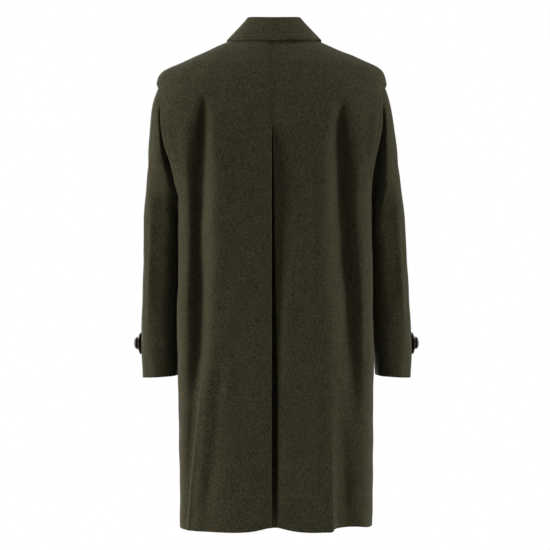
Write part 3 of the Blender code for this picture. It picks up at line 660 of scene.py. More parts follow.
# Columns run along the folds: outside each trough, in it, inside it and on the ridge, by height.
LANES = {
    1: mm_chart(
        (-165, 160, 143, 127, 110), (-248, 170, 150, 131, 113), (-309, 175, 153, 132, 114),
        (-454, 176, 154, 133, 115), (-557, 175, 155, 137, 122), (-660, 176, 157, 145, 134),
        (-763, 178, 163, 155, 146), (-866, 187, 175, 167, 158), (-1034, 191, 184, 178, 171.5),
    ),
    -1: mm_chart(
        (-165, 160, 143.5, 127, 109), (-248, 166, 145, 125, 107), (-309, 168, 145.5, 124, 106),
        (-371, 171, 146, 123, 105), (-454, 176, 150, 126, 106), (-557, 181, 155.5, 131, 110),
        (-660, 183, 159, 136, 114), (-763, 184, 161, 138, 117), (-866, 184, 160, 138, 119),
        (-1034, 184, 158, 136, 119.5),
    ),
}
COLUMNS_BETWEEN_LANES = (24, 18, 18, 14, 42)
LANE_STARTS = np.cumsum((0, *COLUMNS_BETWEEN_LANES))
FLAT_COUNT = LANE_STARTS[-1] + 1
# place, width and lift of each stretch where the back hem rides up
HEM_RISES = ((0.000, 0.035, 0.009), (-0.165, 0.040, 0.003))
HEM_RISE_REACH = 0.064
# The step in the right half's hem: where it starts, how wide and high it is, and how it sinks again
HEM_STEP_PLACE, HEM_STEP_WIDTH, HEM_STEP_LIFT = -0.118, 0.006, 0.0055
HEM_STEP_SINKS_FROM, HEM_STEP_SINKS_OVER, HEM_STEP_SINKS_BY = -0.170, 0.037, 0.6


def hem_lift(x, height):
    """How far the hem rides up here, fading out above it."""
    rise = sum(lift * np.exp(-(((x - place) / width) ** 2)) for place, width, lift in HEM_RISES)
    step = smooth((HEM_STEP_PLACE - x) / HEM_STEP_WIDTH)
    step *= 1 - HEM_STEP_SINKS_BY * smooth((HEM_STEP_SINKS_FROM - x) / HEM_STEP_SINKS_OVER)
    rise = rise + HEM_STEP_LIFT * step
    return rise * np.clip(1 - (height - HEM) / HEM_RISE_REACH, 0, 1)


def pleat_edge_x(height):
    """Where the flat of the back ends and its turn into the pleat begins."""
    return float(PLEAT.at(height)[0]) / 2 + SOLID_CLOTH / 2 + TURN_RADIUS


def back_form(side, around, height):
    """Points of the back: the form's own, fallen in on the right beside the pleat."""
    points = form(side, around, height)
    if side < 0:
        depth, width = PLEAT_FALL.at(points[:, 2])
        points[:, 1] -= depth * np.exp(-(((points[:, 0] - PLEAT_FALL_PLACE) / width) ** 2))
    return points


def back_ends(side, height):
    """How far round a row begins beside the arm and ends at the pleat."""
    edge = around_at_y(side, float(SIDE_EDGES.at(height)[0]) + SEAM_GAP / 2, height)
    return edge, around_at_x(side, 1, pleat_edge_x(height), height)[0]


def back_columns(side, height):
    """How far round each column of a row lies. Above the lanes they keep their shares of the row."""
    laned = min(height, LANES[side].keys[-1])
    lanes = around_at_x(side, 1, LANES[side].at(laned), laned)
    laned_edge, laned_middle = back_ends(side, laned)
    edge, middle = back_ends(side, height)
    shares = np.concatenate([[1], (lanes - laned_middle) / (laned_edge - laned_middle), [0]])
    return mix(middle, edge, np.interp(np.arange(FLAT_COUNT), LANE_STARTS, shares))


def back_flat(side, height):
    """One row of a back half, from its side edge to where it turns into the pleat."""
    around = back_columns(side, height)
    level = height + hem_lift(form(side, around, height)[:, 0], height)
    return back_form(side, around, level)


def pleat_turn(side, edge_point, out):
    """Round the fold of the pleat, from the outside of the coat to the inside."""
    to_centre = unit(np.cross((0, 0, 1), out)) * side
    hinge = edge_point - out * TURN_RADIUS
    arms = np.cos(TURN_ANGLES)[:, None] * out + np.sin(TURN_ANGLES)[:, None] * to_centre
    return hinge + arms * TURN_RADIUS


def pleat_return(side, height, level):
    """The cloth turned under: the back's own points moved in by two layers."""
    reach = pleat_edge_x(height) + float(PLEAT.at(height)[1]) * RETURN_SHARES
    around = around_at_x(side, 1, reach, level)
    return back_form(side, around, level) - form_normal(side, around, level, back_form) * 2 * TURN_RADIUS


def back_row(side, height):
    """A whole row of a back half: its flat, the turn into the pleat and the cloth turned under."""
    flat = back_flat(side, height)
    level = flat[-1, 2]
    middle = around_at_x(side, 1, pleat_edge_x(height), level)[0]
    turn = pleat_turn(side, flat[-1], form_normal(side, middle, level, back_form)[0])
    return np.concatenate([flat, turn, pleat_return(side, height, level)])


print("back grid:", len(PANEL_ROWS), "rows,", FLAT_COUNT, "columns before the pleat")

# %% [markdown]
# Small creases come next: faint lines down from the flange and the pleat, a pressed crest in each side
# of the skirt, a few at the shoulder, and the dip that sewing makes along a seam. They are moved along
# the cloth's own normals, and they fade out at the edges so that neighbouring panels still meet.

# %% Back creases
# across at top, height at top, across at bottom, height at bottom, half width, depth, in millimetres
BACK_CREASES = {
    1: (
        (98, -200, 106, -560, 14, 1.6), (64, -420, 78, -980, 18, -2.2),
        (104, -640, 140, -1030, 12, -2.8), (30, -560, 36, -1030, 14, 1.8),
        (188, -420, 186, -700, 7, -2), (150, -60, 196, -120, 16, -1.2),
        (206, -150, 196, -330, 10, -1.4), (147, -715, 195, -1250, 3.5, 3.6),
    ),
    -1: (
        (-81.5, -190, -83, -690, 8, -2), (-104, -230, -106, -560, 12, 1.8),
        (-52, -380, -56, -860, 12, -1.6), (-92, -700, -90, -1030, 9, -2.2),
        (-140, -800, -150, -1020, 10, -2.4), (-192, -420, -192, -780, 7, -1.8),
        (-146, -60, -190, -120, 16, -1.2), (-198, -150, -190, -330, 10, -1.4),
        (-116.5, -780, -119.5, -1260, 4, 2.2), (-129, -800, -131, -1250, 8, -2.2),
    ),
}
SEAM_DIP = 0.0011
STITCH_DIP = 0.0007
DIP_WIDTH = 0.0022
STITCH_INSET = 0.012
STITCHED_HEIGHTS = (-0.335, -0.108)
CALM_AT_SIDE = 0.03
CALM_AT_PLEAT = 0.02
CENTRE_SEAM_END, CENTRE_SEAM_FADE = -0.30, 0.12
FLANGE_TOP, FLANGE_TOP_FADE = -0.100, 0.004
BACK_FLANGE_END, BACK_FLANGE_FADE = -0.350, 0.020


def in_flange(height, end, fade):
    """1 along the free edge of the flange, 0 along a seam."""
    return smooth((FLANGE_TOP - height) / FLANGE_TOP_FADE) * smooth((height - end) / fade)


def seam_dip(distance):
    """How far the cloth dips towards a seam at this distance."""
    return SEAM_DIP * np.exp(-distance / DIP_WIDTH)


def stitch_dip(distance):
    """How far the cloth dips under a line of stitches at this distance."""
    return STITCH_DIP * np.exp(-((distance / DIP_WIDTH) ** 2))


def shape_back(side, points):
    """Add creases, slack, seam dips and the groove of the flange's stitching to a back half."""
    flat = points[:, :FLAT_COUNT].copy()
    x, height = flat[..., 0], flat[..., 2]
    from_side = lengths(flat)
    from_middle = from_side[:, -1:] - from_side
    calm = smooth(from_side / CALM_AT_SIDE) * smooth(from_middle / CALM_AT_PLEAT)
    move = (creases(np.array(BACK_CREASES[side]) / MM_IN_A_METRE, x, height) + slack(x, height)) * calm
    flange = in_flange(height, BACK_FLANGE_END, BACK_FLANGE_FADE)
    move -= seam_dip(from_side) * (1 - flange)
    move -= seam_dip(from_middle) * smooth((height - CENTRE_SEAM_END) / CENTRE_SEAM_FADE)
    move -= stitch_dip(from_side - STITCH_INSET) * flange
    points[:, :FLAT_COUNT] += grid_normals(flat, (0, 1, 0)) * move[..., None]
    return points


def flange_line(points):
    """The stitching line of the flange, on the cloth's own points at an even inset."""
    flat = points[:, :FLAT_COUNT]
    normals = grid_normals(flat, (0, 1, 0))
    from_side = lengths(flat)
    path, out = [], []
    for row in range(len(flat)):
        if STITCHED_HEIGHTS[0] < flat[row, 0, 2] < STITCHED_HEIGHTS[1]:
            column = int(np.argmin(np.abs(from_side[row] - STITCH_INSET)))
            path.append(flat[row, column])
            out.append(normals[row, column])
    return np.array(path), np.array(out)


flange_paths = {}
for side, word in SIDES:
    points = shape_back(side, np.array([back_row(side, height) for height in PANEL_ROWS]))
    flange_paths[word] = flange_line(points)
    back_cloth = lay_cloth(f"back_{word}_cloth", points, CLOTH, f"back_{word}", loden)
    mark_sheet(back_cloth, points)

# %% [markdown]
# ## The pleat's underlay
# Behind the pleat a plain strip joins the two turned-under edges, so that the coat stays closed when
# the pleat opens. Hardly any of it shows, so it is only draped and given its thickness.

# %% Underlay
UNDERLAY_TOP = -0.040
UNDERLAY_INSET = 0.001
UNDERLAY_CLEARANCE = 0.0014
UNDERLAY_HEM_SHARE = 0.4
UNDERLAY_ROWS, UNDERLAY_COLUMNS = 90, 25


def underlay_row(height):
    """One row of the underlay, sunk behind the pleat by two layers and its own sag."""
    reach = pleat_edge_x(height) + float(PLEAT.at(height)[1]) - UNDERLAY_INSET
    x = np.linspace(reach, -reach, UNDERLAY_COLUMNS)
    row = []
    for side, part in ((1, x[x >= 0]), (-1, x[x < 0])):
        level = height + UNDERLAY_HEM_SHARE * hem_lift(part, height)
        around = around_at_x(side, 1, np.abs(part), level)
        sag = float(PLEAT.at(height)[2])
        fall, width = PLEAT_FALL.at(height)
        sunk = 2 * TURN_RADIUS + SOLID_CLOTH + UNDERLAY_CLEARANCE + sag * (1 - (part / reach) ** 2)
        sunk += fall * np.exp(-(((part - PLEAT_FALL_PLACE) / width) ** 2))
        row.append(form(side, around, level) - form_normal(side, around, level) * sunk[:, None])
    return np.concatenate(row)


points = np.array([underlay_row(height) for height in np.linspace(HEM, UNDERLAY_TOP, UNDERLAY_ROWS)])
underlay = lay_cloth("pleat_underlay_cloth", points, CLOTH, "pleat_underlay", loden)
mark_sheet(underlay, points)

# %% [markdown]
# ## The fronts
# The fronts face away from the camera, so they are finished plainly: a round neckline, the left front
# lapped over the right, a stitched front edge and a few soft folds like those of the back.

# %% Front rows
NECK_HALF_WIDTH = 0.074
NECK_DROP = 0.062
NECK_SHAPED_FROM = -0.260
OVERLAP = 0.025
OVERLAP_RAMP = 0.020
# where the right front starts to step in under the left
UNDERLAP_FROM = -OVERLAP - 1.5 * OVERLAP_RAMP
FRONT_SHARES = np.linspace(0, 1, 96) ** 1.15
OVERLAP_SHARES = np.linspace(0, 1, 13)[1:]
FRONT_FLANGE_END, FRONT_FLANGE_FADE = -0.380, 0.012
CALM_AT_FRONT_EDGE = 0.055
FRONT_STITCH_INSET = 0.008


def front_row(side, height):
    """One row of a front, from its side edge past centre front to the end of its lap."""
    neck = float(smooth((height - NECK_SHAPED_FROM) / -NECK_SHAPED_FROM))
    swing = FRONT_SHARES**2 * math.pi / 2
    drop = NECK_DROP * np.sin(swing)
    neck_around = around_at_x(side, -1, NECK_HALF_WIDTH * np.cos(swing), -drop)
    edge = around_at_y(side, float(SIDE_EDGES.at(height)[1]) - SEAM_GAP / 2, height)
    around = mix(edge, 2, mix(FRONT_SHARES, neck_around - 1, neck))
    level = height - neck * drop
    past_level = level[-1]
    past = 4 - around_at_x(-side, -1, OVERLAP * OVERLAP_SHARES, past_level)
    around = np.concatenate([around, past])
    level = np.concatenate([level, np.full(len(past), past_level)])
    points = form(side, around, level)
    if side < 0:
        under = smooth((points[:, 0] - UNDERLAP_FROM) / OVERLAP_RAMP)
        points -= form_normal(side, around, level) * ((SOLID_CLOTH + LAYER_GAP) * under)[:, None]
    return points


# %% Front creases
# columns as for the back
FRONT_CREASES = {
    1: (
        (172, -180, 160, -360, 10, -2.8), (110, -240, 122, -600, 16, 2.4),
        (70, -480, 84, -1000, 18, -2.4), (118, -640, 140, -1030, 12, -2.8),
        (182, -500, 178, -960, 10, -2),
    ),
    -1: (
        (-174, -170, -164, -350, 10, -2.6), (-104, -300, -118, -660, 16, 2.2),
        (-66, -520, -74, -1010, 18, -2.4), (-122, -600, -138, -1030, 12, -2.6),
        (-184, -460, -184, -900, 10, 1.8),
    ),
}


def shape_front(side, points):
    """Add creases, slack, the seam dip and the groove of the edge stitching to a front."""
    x, height = points[..., 0], points[..., 2]
    from_side = lengths(points)
    from_edge = from_side[:, -1:] - from_side
    calm = smooth(from_side / CALM_AT_SIDE) * smooth((from_edge - CALM_AT_FRONT_EDGE) / CALM_AT_SIDE)
    move = (creases(np.array(FRONT_CREASES[side]) / MM_IN_A_METRE, x, height) + slack(x, height)) * calm
    move -= seam_dip(from_side) * (1 - in_flange(height, FRONT_FLANGE_END, FRONT_FLANGE_FADE))
    move -= stitch_dip(from_edge - FRONT_STITCH_INSET)
    return points + grid_normals(points, (0, -1, 0)) * move[..., None]


front_points = {}
for side, word in SIDES:
    points = shape_front(side, np.array([front_row(side, height) for height in PANEL_ROWS]))
    front_points[word] = points
    front_cloth = lay_cloth(f"front_{word}_cloth", points, CLOTH, f"front_{word}", loden)
    mark_sheet(front_cloth, points)

# %% [markdown]
# ## The sleeves
# Each sleeve is cut in two: a wide top sleeve and a narrow under sleeve, joined by a hind-arm seam and
# a forearm seam. Rings from the armhole to the cuff carry both. The first ring follows the inside of
# the shoulder, where the sleeve is sewn in under the flange.

# %% Sleeve rings
# ring, outer x left and right, outer height, inner x left and right, inner height, half depth,
# middle, how far the outer side is carried back, boxiness
SLEEVE_RINGS = Chart(
    (0, 0.206, 0.198, -0.062, 0.190, 0.182, -0.285, 0.099, -0.002, 0.000, 2.0),
    (1, 0.229, 0.221, -0.084, 0.1905, 0.183, -0.292, 0.089, -0.003, 0.002, 2.0),
    (2, 0.246, 0.236, -0.110, 0.192, 0.187, -0.301, 0.080, -0.004, 0.004, 2.1),
    (3, 0.259, 0.248, -0.152, 0.195, 0.194, -0.317, 0.072, -0.005, -0.002, 2.6),
    (4, 0.265, 0.258, -0.215, 0.2005, 0.203, -0.338, 0.067, -0.007, -0.005, 2.6),
    (5, 0.270, 0.267, -0.290, 0.2065, 0.2105, -0.372, 0.065, -0.016, -0.004, 2.8),
    (6, 0.2745, 0.2745, -0.365, 0.2070, 0.2115, -0.412, 0.070, -0.024, -0.002, 3.6),
    (7, 0.2775, 0.281, -0.440, 0.2070, 0.2115, -0.470, 0.073, -0.034, 0.000, 3.4),
    (8, 0.2795, 0.286, -0.515, 0.2070, 0.2120, -0.532, 0.072, -0.042, 0.000, 3.2),
    (9, 0.282, 0.290, -0.585, 0.2070, 0.2130, -0.594, 0.069, -0.048, 0.000, 3.0),
    (10, 0.283, 0.293, -0.645, 0.2070, 0.2150, -0.648, 0.065, -0.053, 0.000, 2.8),
    (11, 0.283, 0.2945, -0.694, 0.2070, 0.2185, -0.692, 0.062, -0.056, 0.000, 2.6),
    (12, 0.283, 0.294, -0.725, 0.2070, 0.2205, -0.720, 0.061, -0.058, 0.000, 2.5),
)
# height, where the sleeve's back falls in behind the edge of the flange, left and right, and how far
VENTS = mm_chart(
    (-130, 246, 238, 0), (-160, 245, 237, 12), (-186, 243, 236.5, 30), (-248, 237, 236, 45),
    (-309, 222.5, 236, 45), (-371, 210.5, 223.5, 32), (-410, 206, 212, 8), (-430, 205, 208, 0),
)
VENT_EDGE = 0.014
VENT_BACKWARD_SHARE = 0.3
ARMHOLE_X = {1: 0.200, -1: 0.192}
ARMHOLE_MIDDLE = -0.175
HEAD_CLEARANCE = 0.0024
HIND_SEAM = math.radians(42)
FORE_SEAM = math.radians(-125)
HEAD_BLENDS_OVER = 2.0


def shoulder_height(side, x):
    """How high the shoulder seam is at this distance from the middle."""
    heights = np.linspace(-0.1, 0, 401)
    halves = GIRTHS.at(heights)[0 if side > 0 else 1]
    return float(np.interp(-x, -halves, heights))


def sleeve_head(side, angle):
    """The sewn-in end: its upper half follows the inside of the coat at the armhole."""
    x = ARMHOLE_X[side]
    rise = np.cos(angle)
    upper = np.clip(rise, 0, 1)
    height = mix(ARMHOLE_MIDDLE, shoulder_height(side, x), upper)
    around = np.where(
        np.sin(angle) >= 0, around_at_x(side, 1, x, height), around_at_x(side, -1, x, height)
    )
    points = form(side, around, height) - form_normal(side, around, height) * (SOLID_CLOTH + HEAD_CLEARANCE)
    ring = SLEEVE_RINGS.at(0)
    drop = np.clip(-rise, 0, 1)
    lower = np.stack([
        mix(points[:, 0], side * (ring[3] if side > 0 else ring[4]), drop),
        points[:, 1] * np.where(rise < 0, np.abs(np.sin(angle)), 1),
        mix(points[:, 2], ring[5], drop),
    ], axis=-1)
    return np.where(rise[:, None] >= 0, points, lower)


def sleeve_ring(side, station, angle, head):
    """One ring of the sleeve. angle is 0 on the outer line and positive towards the back."""
    sizes = SLEEVE_RINGS.at(station)
    outer_x, inner_x = (sizes[0], sizes[3]) if side > 0 else (sizes[1], sizes[4])
    outer_z, inner_z, depth, middle, turn, boxy = sizes[2], *sizes[5:]
    outward, backward = (np.sign(v) * np.abs(v) ** (2 / boxy) for v in (np.cos(angle), np.sin(angle)))
    x = side * (mix(inner_x, outer_x, 0.5) + (outer_x - inner_x) / 2 * outward)
    z = mix(inner_z, outer_z, 0.5) + (outer_z - inner_z) / 2 * outward
    y = middle + depth * backward + turn * outward
    left, right, fall = VENTS.at(np.clip(z, VENTS.keys[0], VENTS.keys[-1]))
    past = ((left if side > 0 else right) - side * x) / VENT_EDGE
    y = y - fall * smooth(past) * smooth(backward / VENT_BACKWARD_SHARE)
    ring = np.stack([x, y, z], axis=-1)
    if station < HEAD_BLENDS_OVER:
        ring = mix(head, ring, station / HEAD_BLENDS_OVER)
    return ring


# %% [markdown]
# Cloth on an arm creases across the inside of the elbow and hangs in long soft lines below it. These
# creases run slantwise round the sleeve, so they are given by angle and height.

# %% Sleeve cloth
SLEEVE_STATIONS = np.concatenate([np.linspace(0, 5, 70, endpoint=False), np.linspace(5, 12, 84)])
# angle at top, height at top, angle at bottom, height at bottom, half width in radians, depth
SLEEVE_CREASES = (
    (0.60, -0.300, 0.95, -0.560, 0.20, -0.0034),
    (1.30, -0.340, 1.10, -0.640, 0.18, 0.0030),
    (-0.30, -0.220, -0.55, -0.520, 0.20, -0.0026),
    (-1.10, -0.330, -0.70, -0.600, 0.22, 0.0028),
    (-1.70, -0.360, -1.55, -0.560, 0.14, -0.0036),
    (2.40, -0.360, 2.20, -0.600, 0.20, -0.0030),
    (0.15, -0.440, 0.05, -0.700, 0.14, 0.0016),
)
# height at the middle, angle at the middle, slant, half width, half reach in radians, depth
ELBOW_CREASES = (
    (-0.415, -1.35, 0.030, 0.0075, 0.75, -0.0042),
    (-0.446, -1.15, -0.020, 0.0065, 0.60, -0.0036),
    (-0.478, -1.45, 0.024, 0.0080, 0.70, -0.0034),
    (-0.392, 1.15, -0.026, 0.0090, 0.55, -0.0020),
    (-0.452, 0.95, 0.030, 0.0100, 0.60, -0.0018),
    (-0.250, 0.55, 0.060, 0.0120, 0.50, -0.0022),
)
CREASED_BELOW, CREASES_GROW_OVER = -0.19, 0.08
CALM_AT_SEAM = 0.012
SLEEVE_RADIUS = 0.06
SEAM_ANGLE_GAP = 0.004
# kind, angle at the first seam, angle at the second, columns
SLEEVE_PANELS = (
    ("top", FORE_SEAM, HIND_SEAM, 66),
    ("under", HIND_SEAM, FORE_SEAM + 2 * math.pi, 74),
)


def elbow(angle, height):
    """The creases that run across the sleeve at the elbow."""
    total = np.zeros(angle.shape)
    for h, a, slant, width, reach, depth in ELBOW_CREASES:
        line = h + slant * (angle - a)
        total += depth * np.exp(-(((height - line) / width) ** 2) - ((angle - a) / reach) ** 2)
    return total


def sleeve_panel(side, start, end, columns):
    """Points of one sleeve panel between two seams, with its creases."""
    angle = np.linspace(start, end, columns)
    head = sleeve_head(side, angle)
    points = np.array([sleeve_ring(side, station, angle, head) for station in SLEEVE_STATIONS])
    wide = np.broadcast_to(np.where(angle > math.pi, angle - 2 * math.pi, angle), points.shape[:2])
    height = points[..., 2]
    from_start = lengths(points)
    from_end = from_start[:, -1:] - from_start
    calm = smooth((CREASED_BELOW - height) / CREASES_GROW_OVER)
    calm *= smooth(from_start / CALM_AT_SEAM) * smooth(from_end / CALM_AT_SEAM)
    move = creases(SLEEVE_CREASES, wide, height) + elbow(wide, height)
    move = (move + slack(wide * SLEEVE_RADIUS, height)) * calm
    move -= seam_dip(from_start) + seam_dip(from_end)
    middle_angle = (start + end) / 2
    outward = (side * math.cos(middle_angle), math.sin(middle_angle), 0)
    return points + grid_normals(points, outward) * move[..., None]


for side, word in SIDES:
    for kind, start, end, columns in SLEEVE_PANELS:
        points = sleeve_panel(side, start + SEAM_ANGLE_GAP, end - SEAM_ANGLE_GAP, columns)
        node = f"sleeve_{kind}_{word}"
        mark_sheet(lay_cloth(f"{node}_cloth", points, CLOTH, node, loden), points)

# %% [markdown]
# ## The collar
# The collar stands up from the neck seam, folds over and falls onto the shoulders. One strip of nine
# rows follows that section all the way round the neck, and subdivision rounds the fold and the thick
# turned edge.

# %% Collar
COLLAR_CLOTH = 0.0036
COLLAR_TURN = 0.0036
COLLAR_SEAT = 0.0024
COLLAR_CLEARANCE = 0.0012
COLLAR_STANDOFF = SOLID_CLOTH / 2 + COLLAR_CLOTH / 2 + COLLAR_CLEARANCE
COLLAR_EDGE_ROUNDING = 0.0006
COLLAR_END, COLLAR_COLUMNS = 178, 73
FALL_BULGE = 0.0015
# angle round the neck, fold x, fold y, fold height, edge x, edge y
COLLAR = Chart(
    (-30, -0.032, 0.055, 0.0320, -0.047, 0.0735),
    (0, 0.000, 0.062, 0.0306, 0.000, 0.0815),
    (30, 0.032, 0.055, 0.0320, 0.047, 0.0735),
    (60, 0.0525, 0.033, 0.0345, 0.081, 0.054),
    (90, 0.0570, 0.000, 0.0265, 0.097, 0.012),
    (120, 0.0575, -0.037, 0.010, 0.099, -0.038),
    (150, 0.040, -0.071, -0.011, 0.087, -0.079),
    (COLLAR_END, 0.006, -0.086, -0.035, 0.062, -0.114),
)


def neck_point(side, angle):
    """The neck seam, by the angle round the neck from centre back."""
    if angle <= math.pi / 2:
        height, face, x = 0.0, 1, NECK_HALF_WIDTH * math.sin(angle)
    else:
        swing = (angle / math.pi * 2 - 1) ** 2 * math.pi / 2
        height, face, x = -NECK_DROP * math.sin(swing), -1, NECK_HALF_WIDTH * math.cos(swing)
    return form(side, around_at_x(side, face, x, height), height)[0]


def outside_girth(x, y, height):
    """Positive outside the coat's girth at this height, nothing on it and negative inside."""
    left, right, back, front, boxy = GIRTHS.at(height)
    return abs(x / (left if x > 0 else right)) ** boxy + abs(y / (back if y > 0 else front)) ** boxy - 1


def shoulder_point(x, y, standoff):
    """The point of the shoulders or chest above this place on the plan, moved out."""
    low, high = NECK_SHAPED_FROM, 0.0
    for _ in range(40):
        middle = (low + high) / 2
        low, high = (low, middle) if outside_girth(x, y, middle) > 0 else (middle, high)
    slopes = [
        outside_girth(x + NUDGE, y, low) - outside_girth(x - NUDGE, y, low),
        outside_girth(x, y + NUDGE, low) - outside_girth(x, y - NUDGE, low),
        outside_girth(x, y, low + NUDGE) - outside_girth(x, y, low - NUDGE),
    ]
    return np.array([x, y, low]) + unit(np.array(slopes)) * standoff


def collar_section(turn):
    """Stand, fold and fall at one angle round the neck, negative on the right."""
    side, angle = (1 if turn >= 0 else -1), abs(turn)
    fold_x, fold_y, fold_z, edge_x, edge_y = COLLAR.at(math.degrees(angle))
    up = np.array([0, 0, 1.0])
    base = neck_point(side, angle) + up * COLLAR_SEAT
    fold = np.array([side * fold_x, fold_y, fold_z])
    edge = shoulder_point(side * edge_x, edge_y, COLLAR_STANDOFF)
    out = unit((edge - fold) * (1, 1, 0))
    inside, outside = fold - out * COLLAR_TURN, fold + out * COLLAR_TURN
    bulge = (out + up) * FALL_BULGE
    return [
        base,
        mix(base, inside, 0.5),
        inside,
        fold + (up - out) * COLLAR_TURN * 0.7,
        fold + (up + out) * COLLAR_TURN * 0.7,
        outside + bulge * 0.3,
        mix(outside, edge, 0.35) + bulge,
        mix(outside, edge, 0.70) + bulge * 0.7,
        edge,
    ]


turns = np.radians(np.linspace(-COLLAR_END, COLLAR_END, COLLAR_COLUMNS))
collar_points = np.array([collar_section(turn) for turn in turns])
collar = lay_cloth("collar_cloth", collar_points, COLLAR_CLOTH, "collar", loden, COLLAR_EDGE_ROUNDING)
rounding = collar.modifiers.new("rounded_fold", "SUBSURF")
rounding.levels = rounding.render_levels = 2
bpy.ops.object.modifier_apply(modifier=rounding.name)
bpy.ops.object.shade_smooth()
mark_sheet(collar, collar_points)

# %% [markdown]
# ## Cuff straps
# A strap runs from the forearm seam round the front of each cuff to a blunt point at the outer side,
# where a button holds it. It is the sleeve's own surface moved out, and it lifts off towards the tip.

# %% Cuff straps
STRAP_CLOTH = 0.0030
STRAP_TOP, STRAP_BOTTOM = -0.629, -0.675
STRAP_ROOT, STRAP_TIP = math.radians(-118), math.radians(7)
STRAP_POINT_SHARE, STRAP_POINT_WIDTH = 0.16, 0.45
STRAP_LIFT, STRAP_LIFTS_FROM = 0.006, 0.55
STRAP_CLEARANCE = 0.0007
STRAP_STANDOFF = SOLID_CLOTH / 2 + STRAP_CLEARANCE + STRAP_CLOTH / 2
STRAP_EDGE_ROUNDING = 0.0009
STRAP_ROWS, STRAP_COLUMNS = 61, 21
STATION_STEP, ANGLE_STEP = 0.3, 0.02


def station_at(height):
    """The ring of the sleeve whose outer line is at this height."""
    return np.interp(-height, -SLEEVE_RINGS.values[:, 2], SLEEVE_RINGS.keys)


def sleeve_spot(side, station, angle):
    return sleeve_ring(side, station, np.array([angle]), None)[0]


def sleeve_facing(side, station, angle):
    """Which way the sleeve faces at one spot."""
    below, above = (sleeve_spot(side, station + step, angle) for step in (STATION_STEP, -STATION_STEP))
    after, before = (sleeve_spot(side, station, angle + step) for step in (ANGLE_STEP, -ANGLE_STEP))
    return side * unit(np.cross(below - above, after - before))


def strap_points(side):
    """Points of one strap, from its root to its tip."""
    rows = []
    for share in np.linspace(0, 1, STRAP_ROWS):
        angle = mix(STRAP_ROOT, STRAP_TIP, share)
        narrow = float(smooth((share - 1 + STRAP_POINT_SHARE) / STRAP_POINT_SHARE))
        half = (STRAP_TOP - STRAP_BOTTOM) / 2 * mix(1, STRAP_POINT_WIDTH, narrow)
        lift = STRAP_LIFT * float(smooth((share - STRAP_LIFTS_FROM) / (1 - STRAP_LIFTS_FROM)))
        row = []
        for across in np.linspace(-1, 1, STRAP_COLUMNS):
            station = station_at((STRAP_TOP + STRAP_BOTTOM) / 2 + across * half)
            spot = sleeve_spot(side, station, angle)
            row.append(spot + sleeve_facing(side, station, angle) * (STRAP_STANDOFF + lift))
        rows.append(row)
    return np.array(rows)


strap_grid = {}
for side, word in SIDES:
    points = strap_points(side)
    strap_grid[word] = points
    node = f"cuff_strap_{word}"
    strap = lay_cloth(f"{node}_cloth", points, STRAP_CLOTH, node, strap_leather, STRAP_EDGE_ROUNDING)
    mark_sheet(strap, points)

# %% [markdown]
# ## Buttons
# The buttons are domed and covered with plaited leather: four fields of three ribs, each turned a
# quarter from its neighbours. One button is modelled from a flattened ball, and copies of it go on the
# cuffs and down the front, each turned to face the way its solid does.

# %% One button
BUTTON_RADIUS = 0.0135
BUTTON_HEIGHT = 0.0085
BUTTON_SHANK = 0.0025
BUTTON_CLEARANCE = 0.0008
BELLY_SHARE = 0.30
SHANK_SHARE = 0.26
RIBS_TO_A_FIELD, RIB_RELIEF, FIELD_SEAM = 3, 0.07, 0.08


def model_button():
    """A plaited dome on a short shank, standing on the origin and facing up."""
    bpy.ops.object.select_all(action="DESELECT")
    bpy.ops.mesh.primitive_uv_sphere_add(segments=48, ring_count=32, radius=1)
    button = bpy.context.object
    co = np.empty(len(button.data.vertices) * 3)
    button.data.vertices.foreach_get("co", co)
    co = co.reshape(-1, 3)
    x, y, z = co.T.copy()
    field = np.where(x * y > 0, x, y)
    rib = np.abs(np.sin(field * math.pi * RIBS_TO_A_FIELD)) ** 0.6
    seam = np.clip(np.minimum(np.abs(x), np.abs(y)) / FIELD_SEAM, 0, 1)
    top = np.clip(z, 0, 1) ** 0.5
    swell = 1 + RIB_RELIEF * top * (rib * seam - 0.6)
    co = co * swell[:, None] * BUTTON_RADIUS
    co[:, 2] *= np.where(z > 0, 1 - BELLY_SHARE, BELLY_SHARE) * BUTTON_HEIGHT / BUTTON_RADIUS
    co[:, 2] += BUTTON_SHANK + BUTTON_HEIGHT * BELLY_SHARE
    button.data.vertices.foreach_set("co", co.ravel())
    button.data.update()
    bpy.ops.mesh.primitive_cylinder_add(
        vertices=20,
        radius=BUTTON_RADIUS * SHANK_SHARE,
        depth=BUTTON_SHANK,
        location=(0, 0, BUTTON_SHANK / 2),
    )
    button.select_set(True)
    bpy.context.view_layer.objects.active = button
    bpy.ops.object.join()
    bpy.ops.object.shade_smooth()
    button.data.materials.append(button_leather)
    return button


master_button = model_button()
print("button faces:", len(master_button.data.polygons))

# %% Place the buttons
FRONT_BUTTON_HEIGHTS = (-0.092, -0.205, -0.318, -0.431, -0.544)
CUFF_BUTTON_SHARE = 0.86


def place_button(name, seat, axis, node):
    """A copy of the button with its own mesh, moved to its seat in the mesh itself."""
    button = master_button.copy()
    button.data = master_button.data.copy()
    button.name = button.data.name = name
    bpy.context.collection.objects.link(button)
    turn = Vector(axis).to_track_quat("Z", "Y").to_matrix().to_4x4()
    button.data.transform(Matrix.Translation(Vector(seat)) @ turn)
    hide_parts(node)
    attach(button, "root")


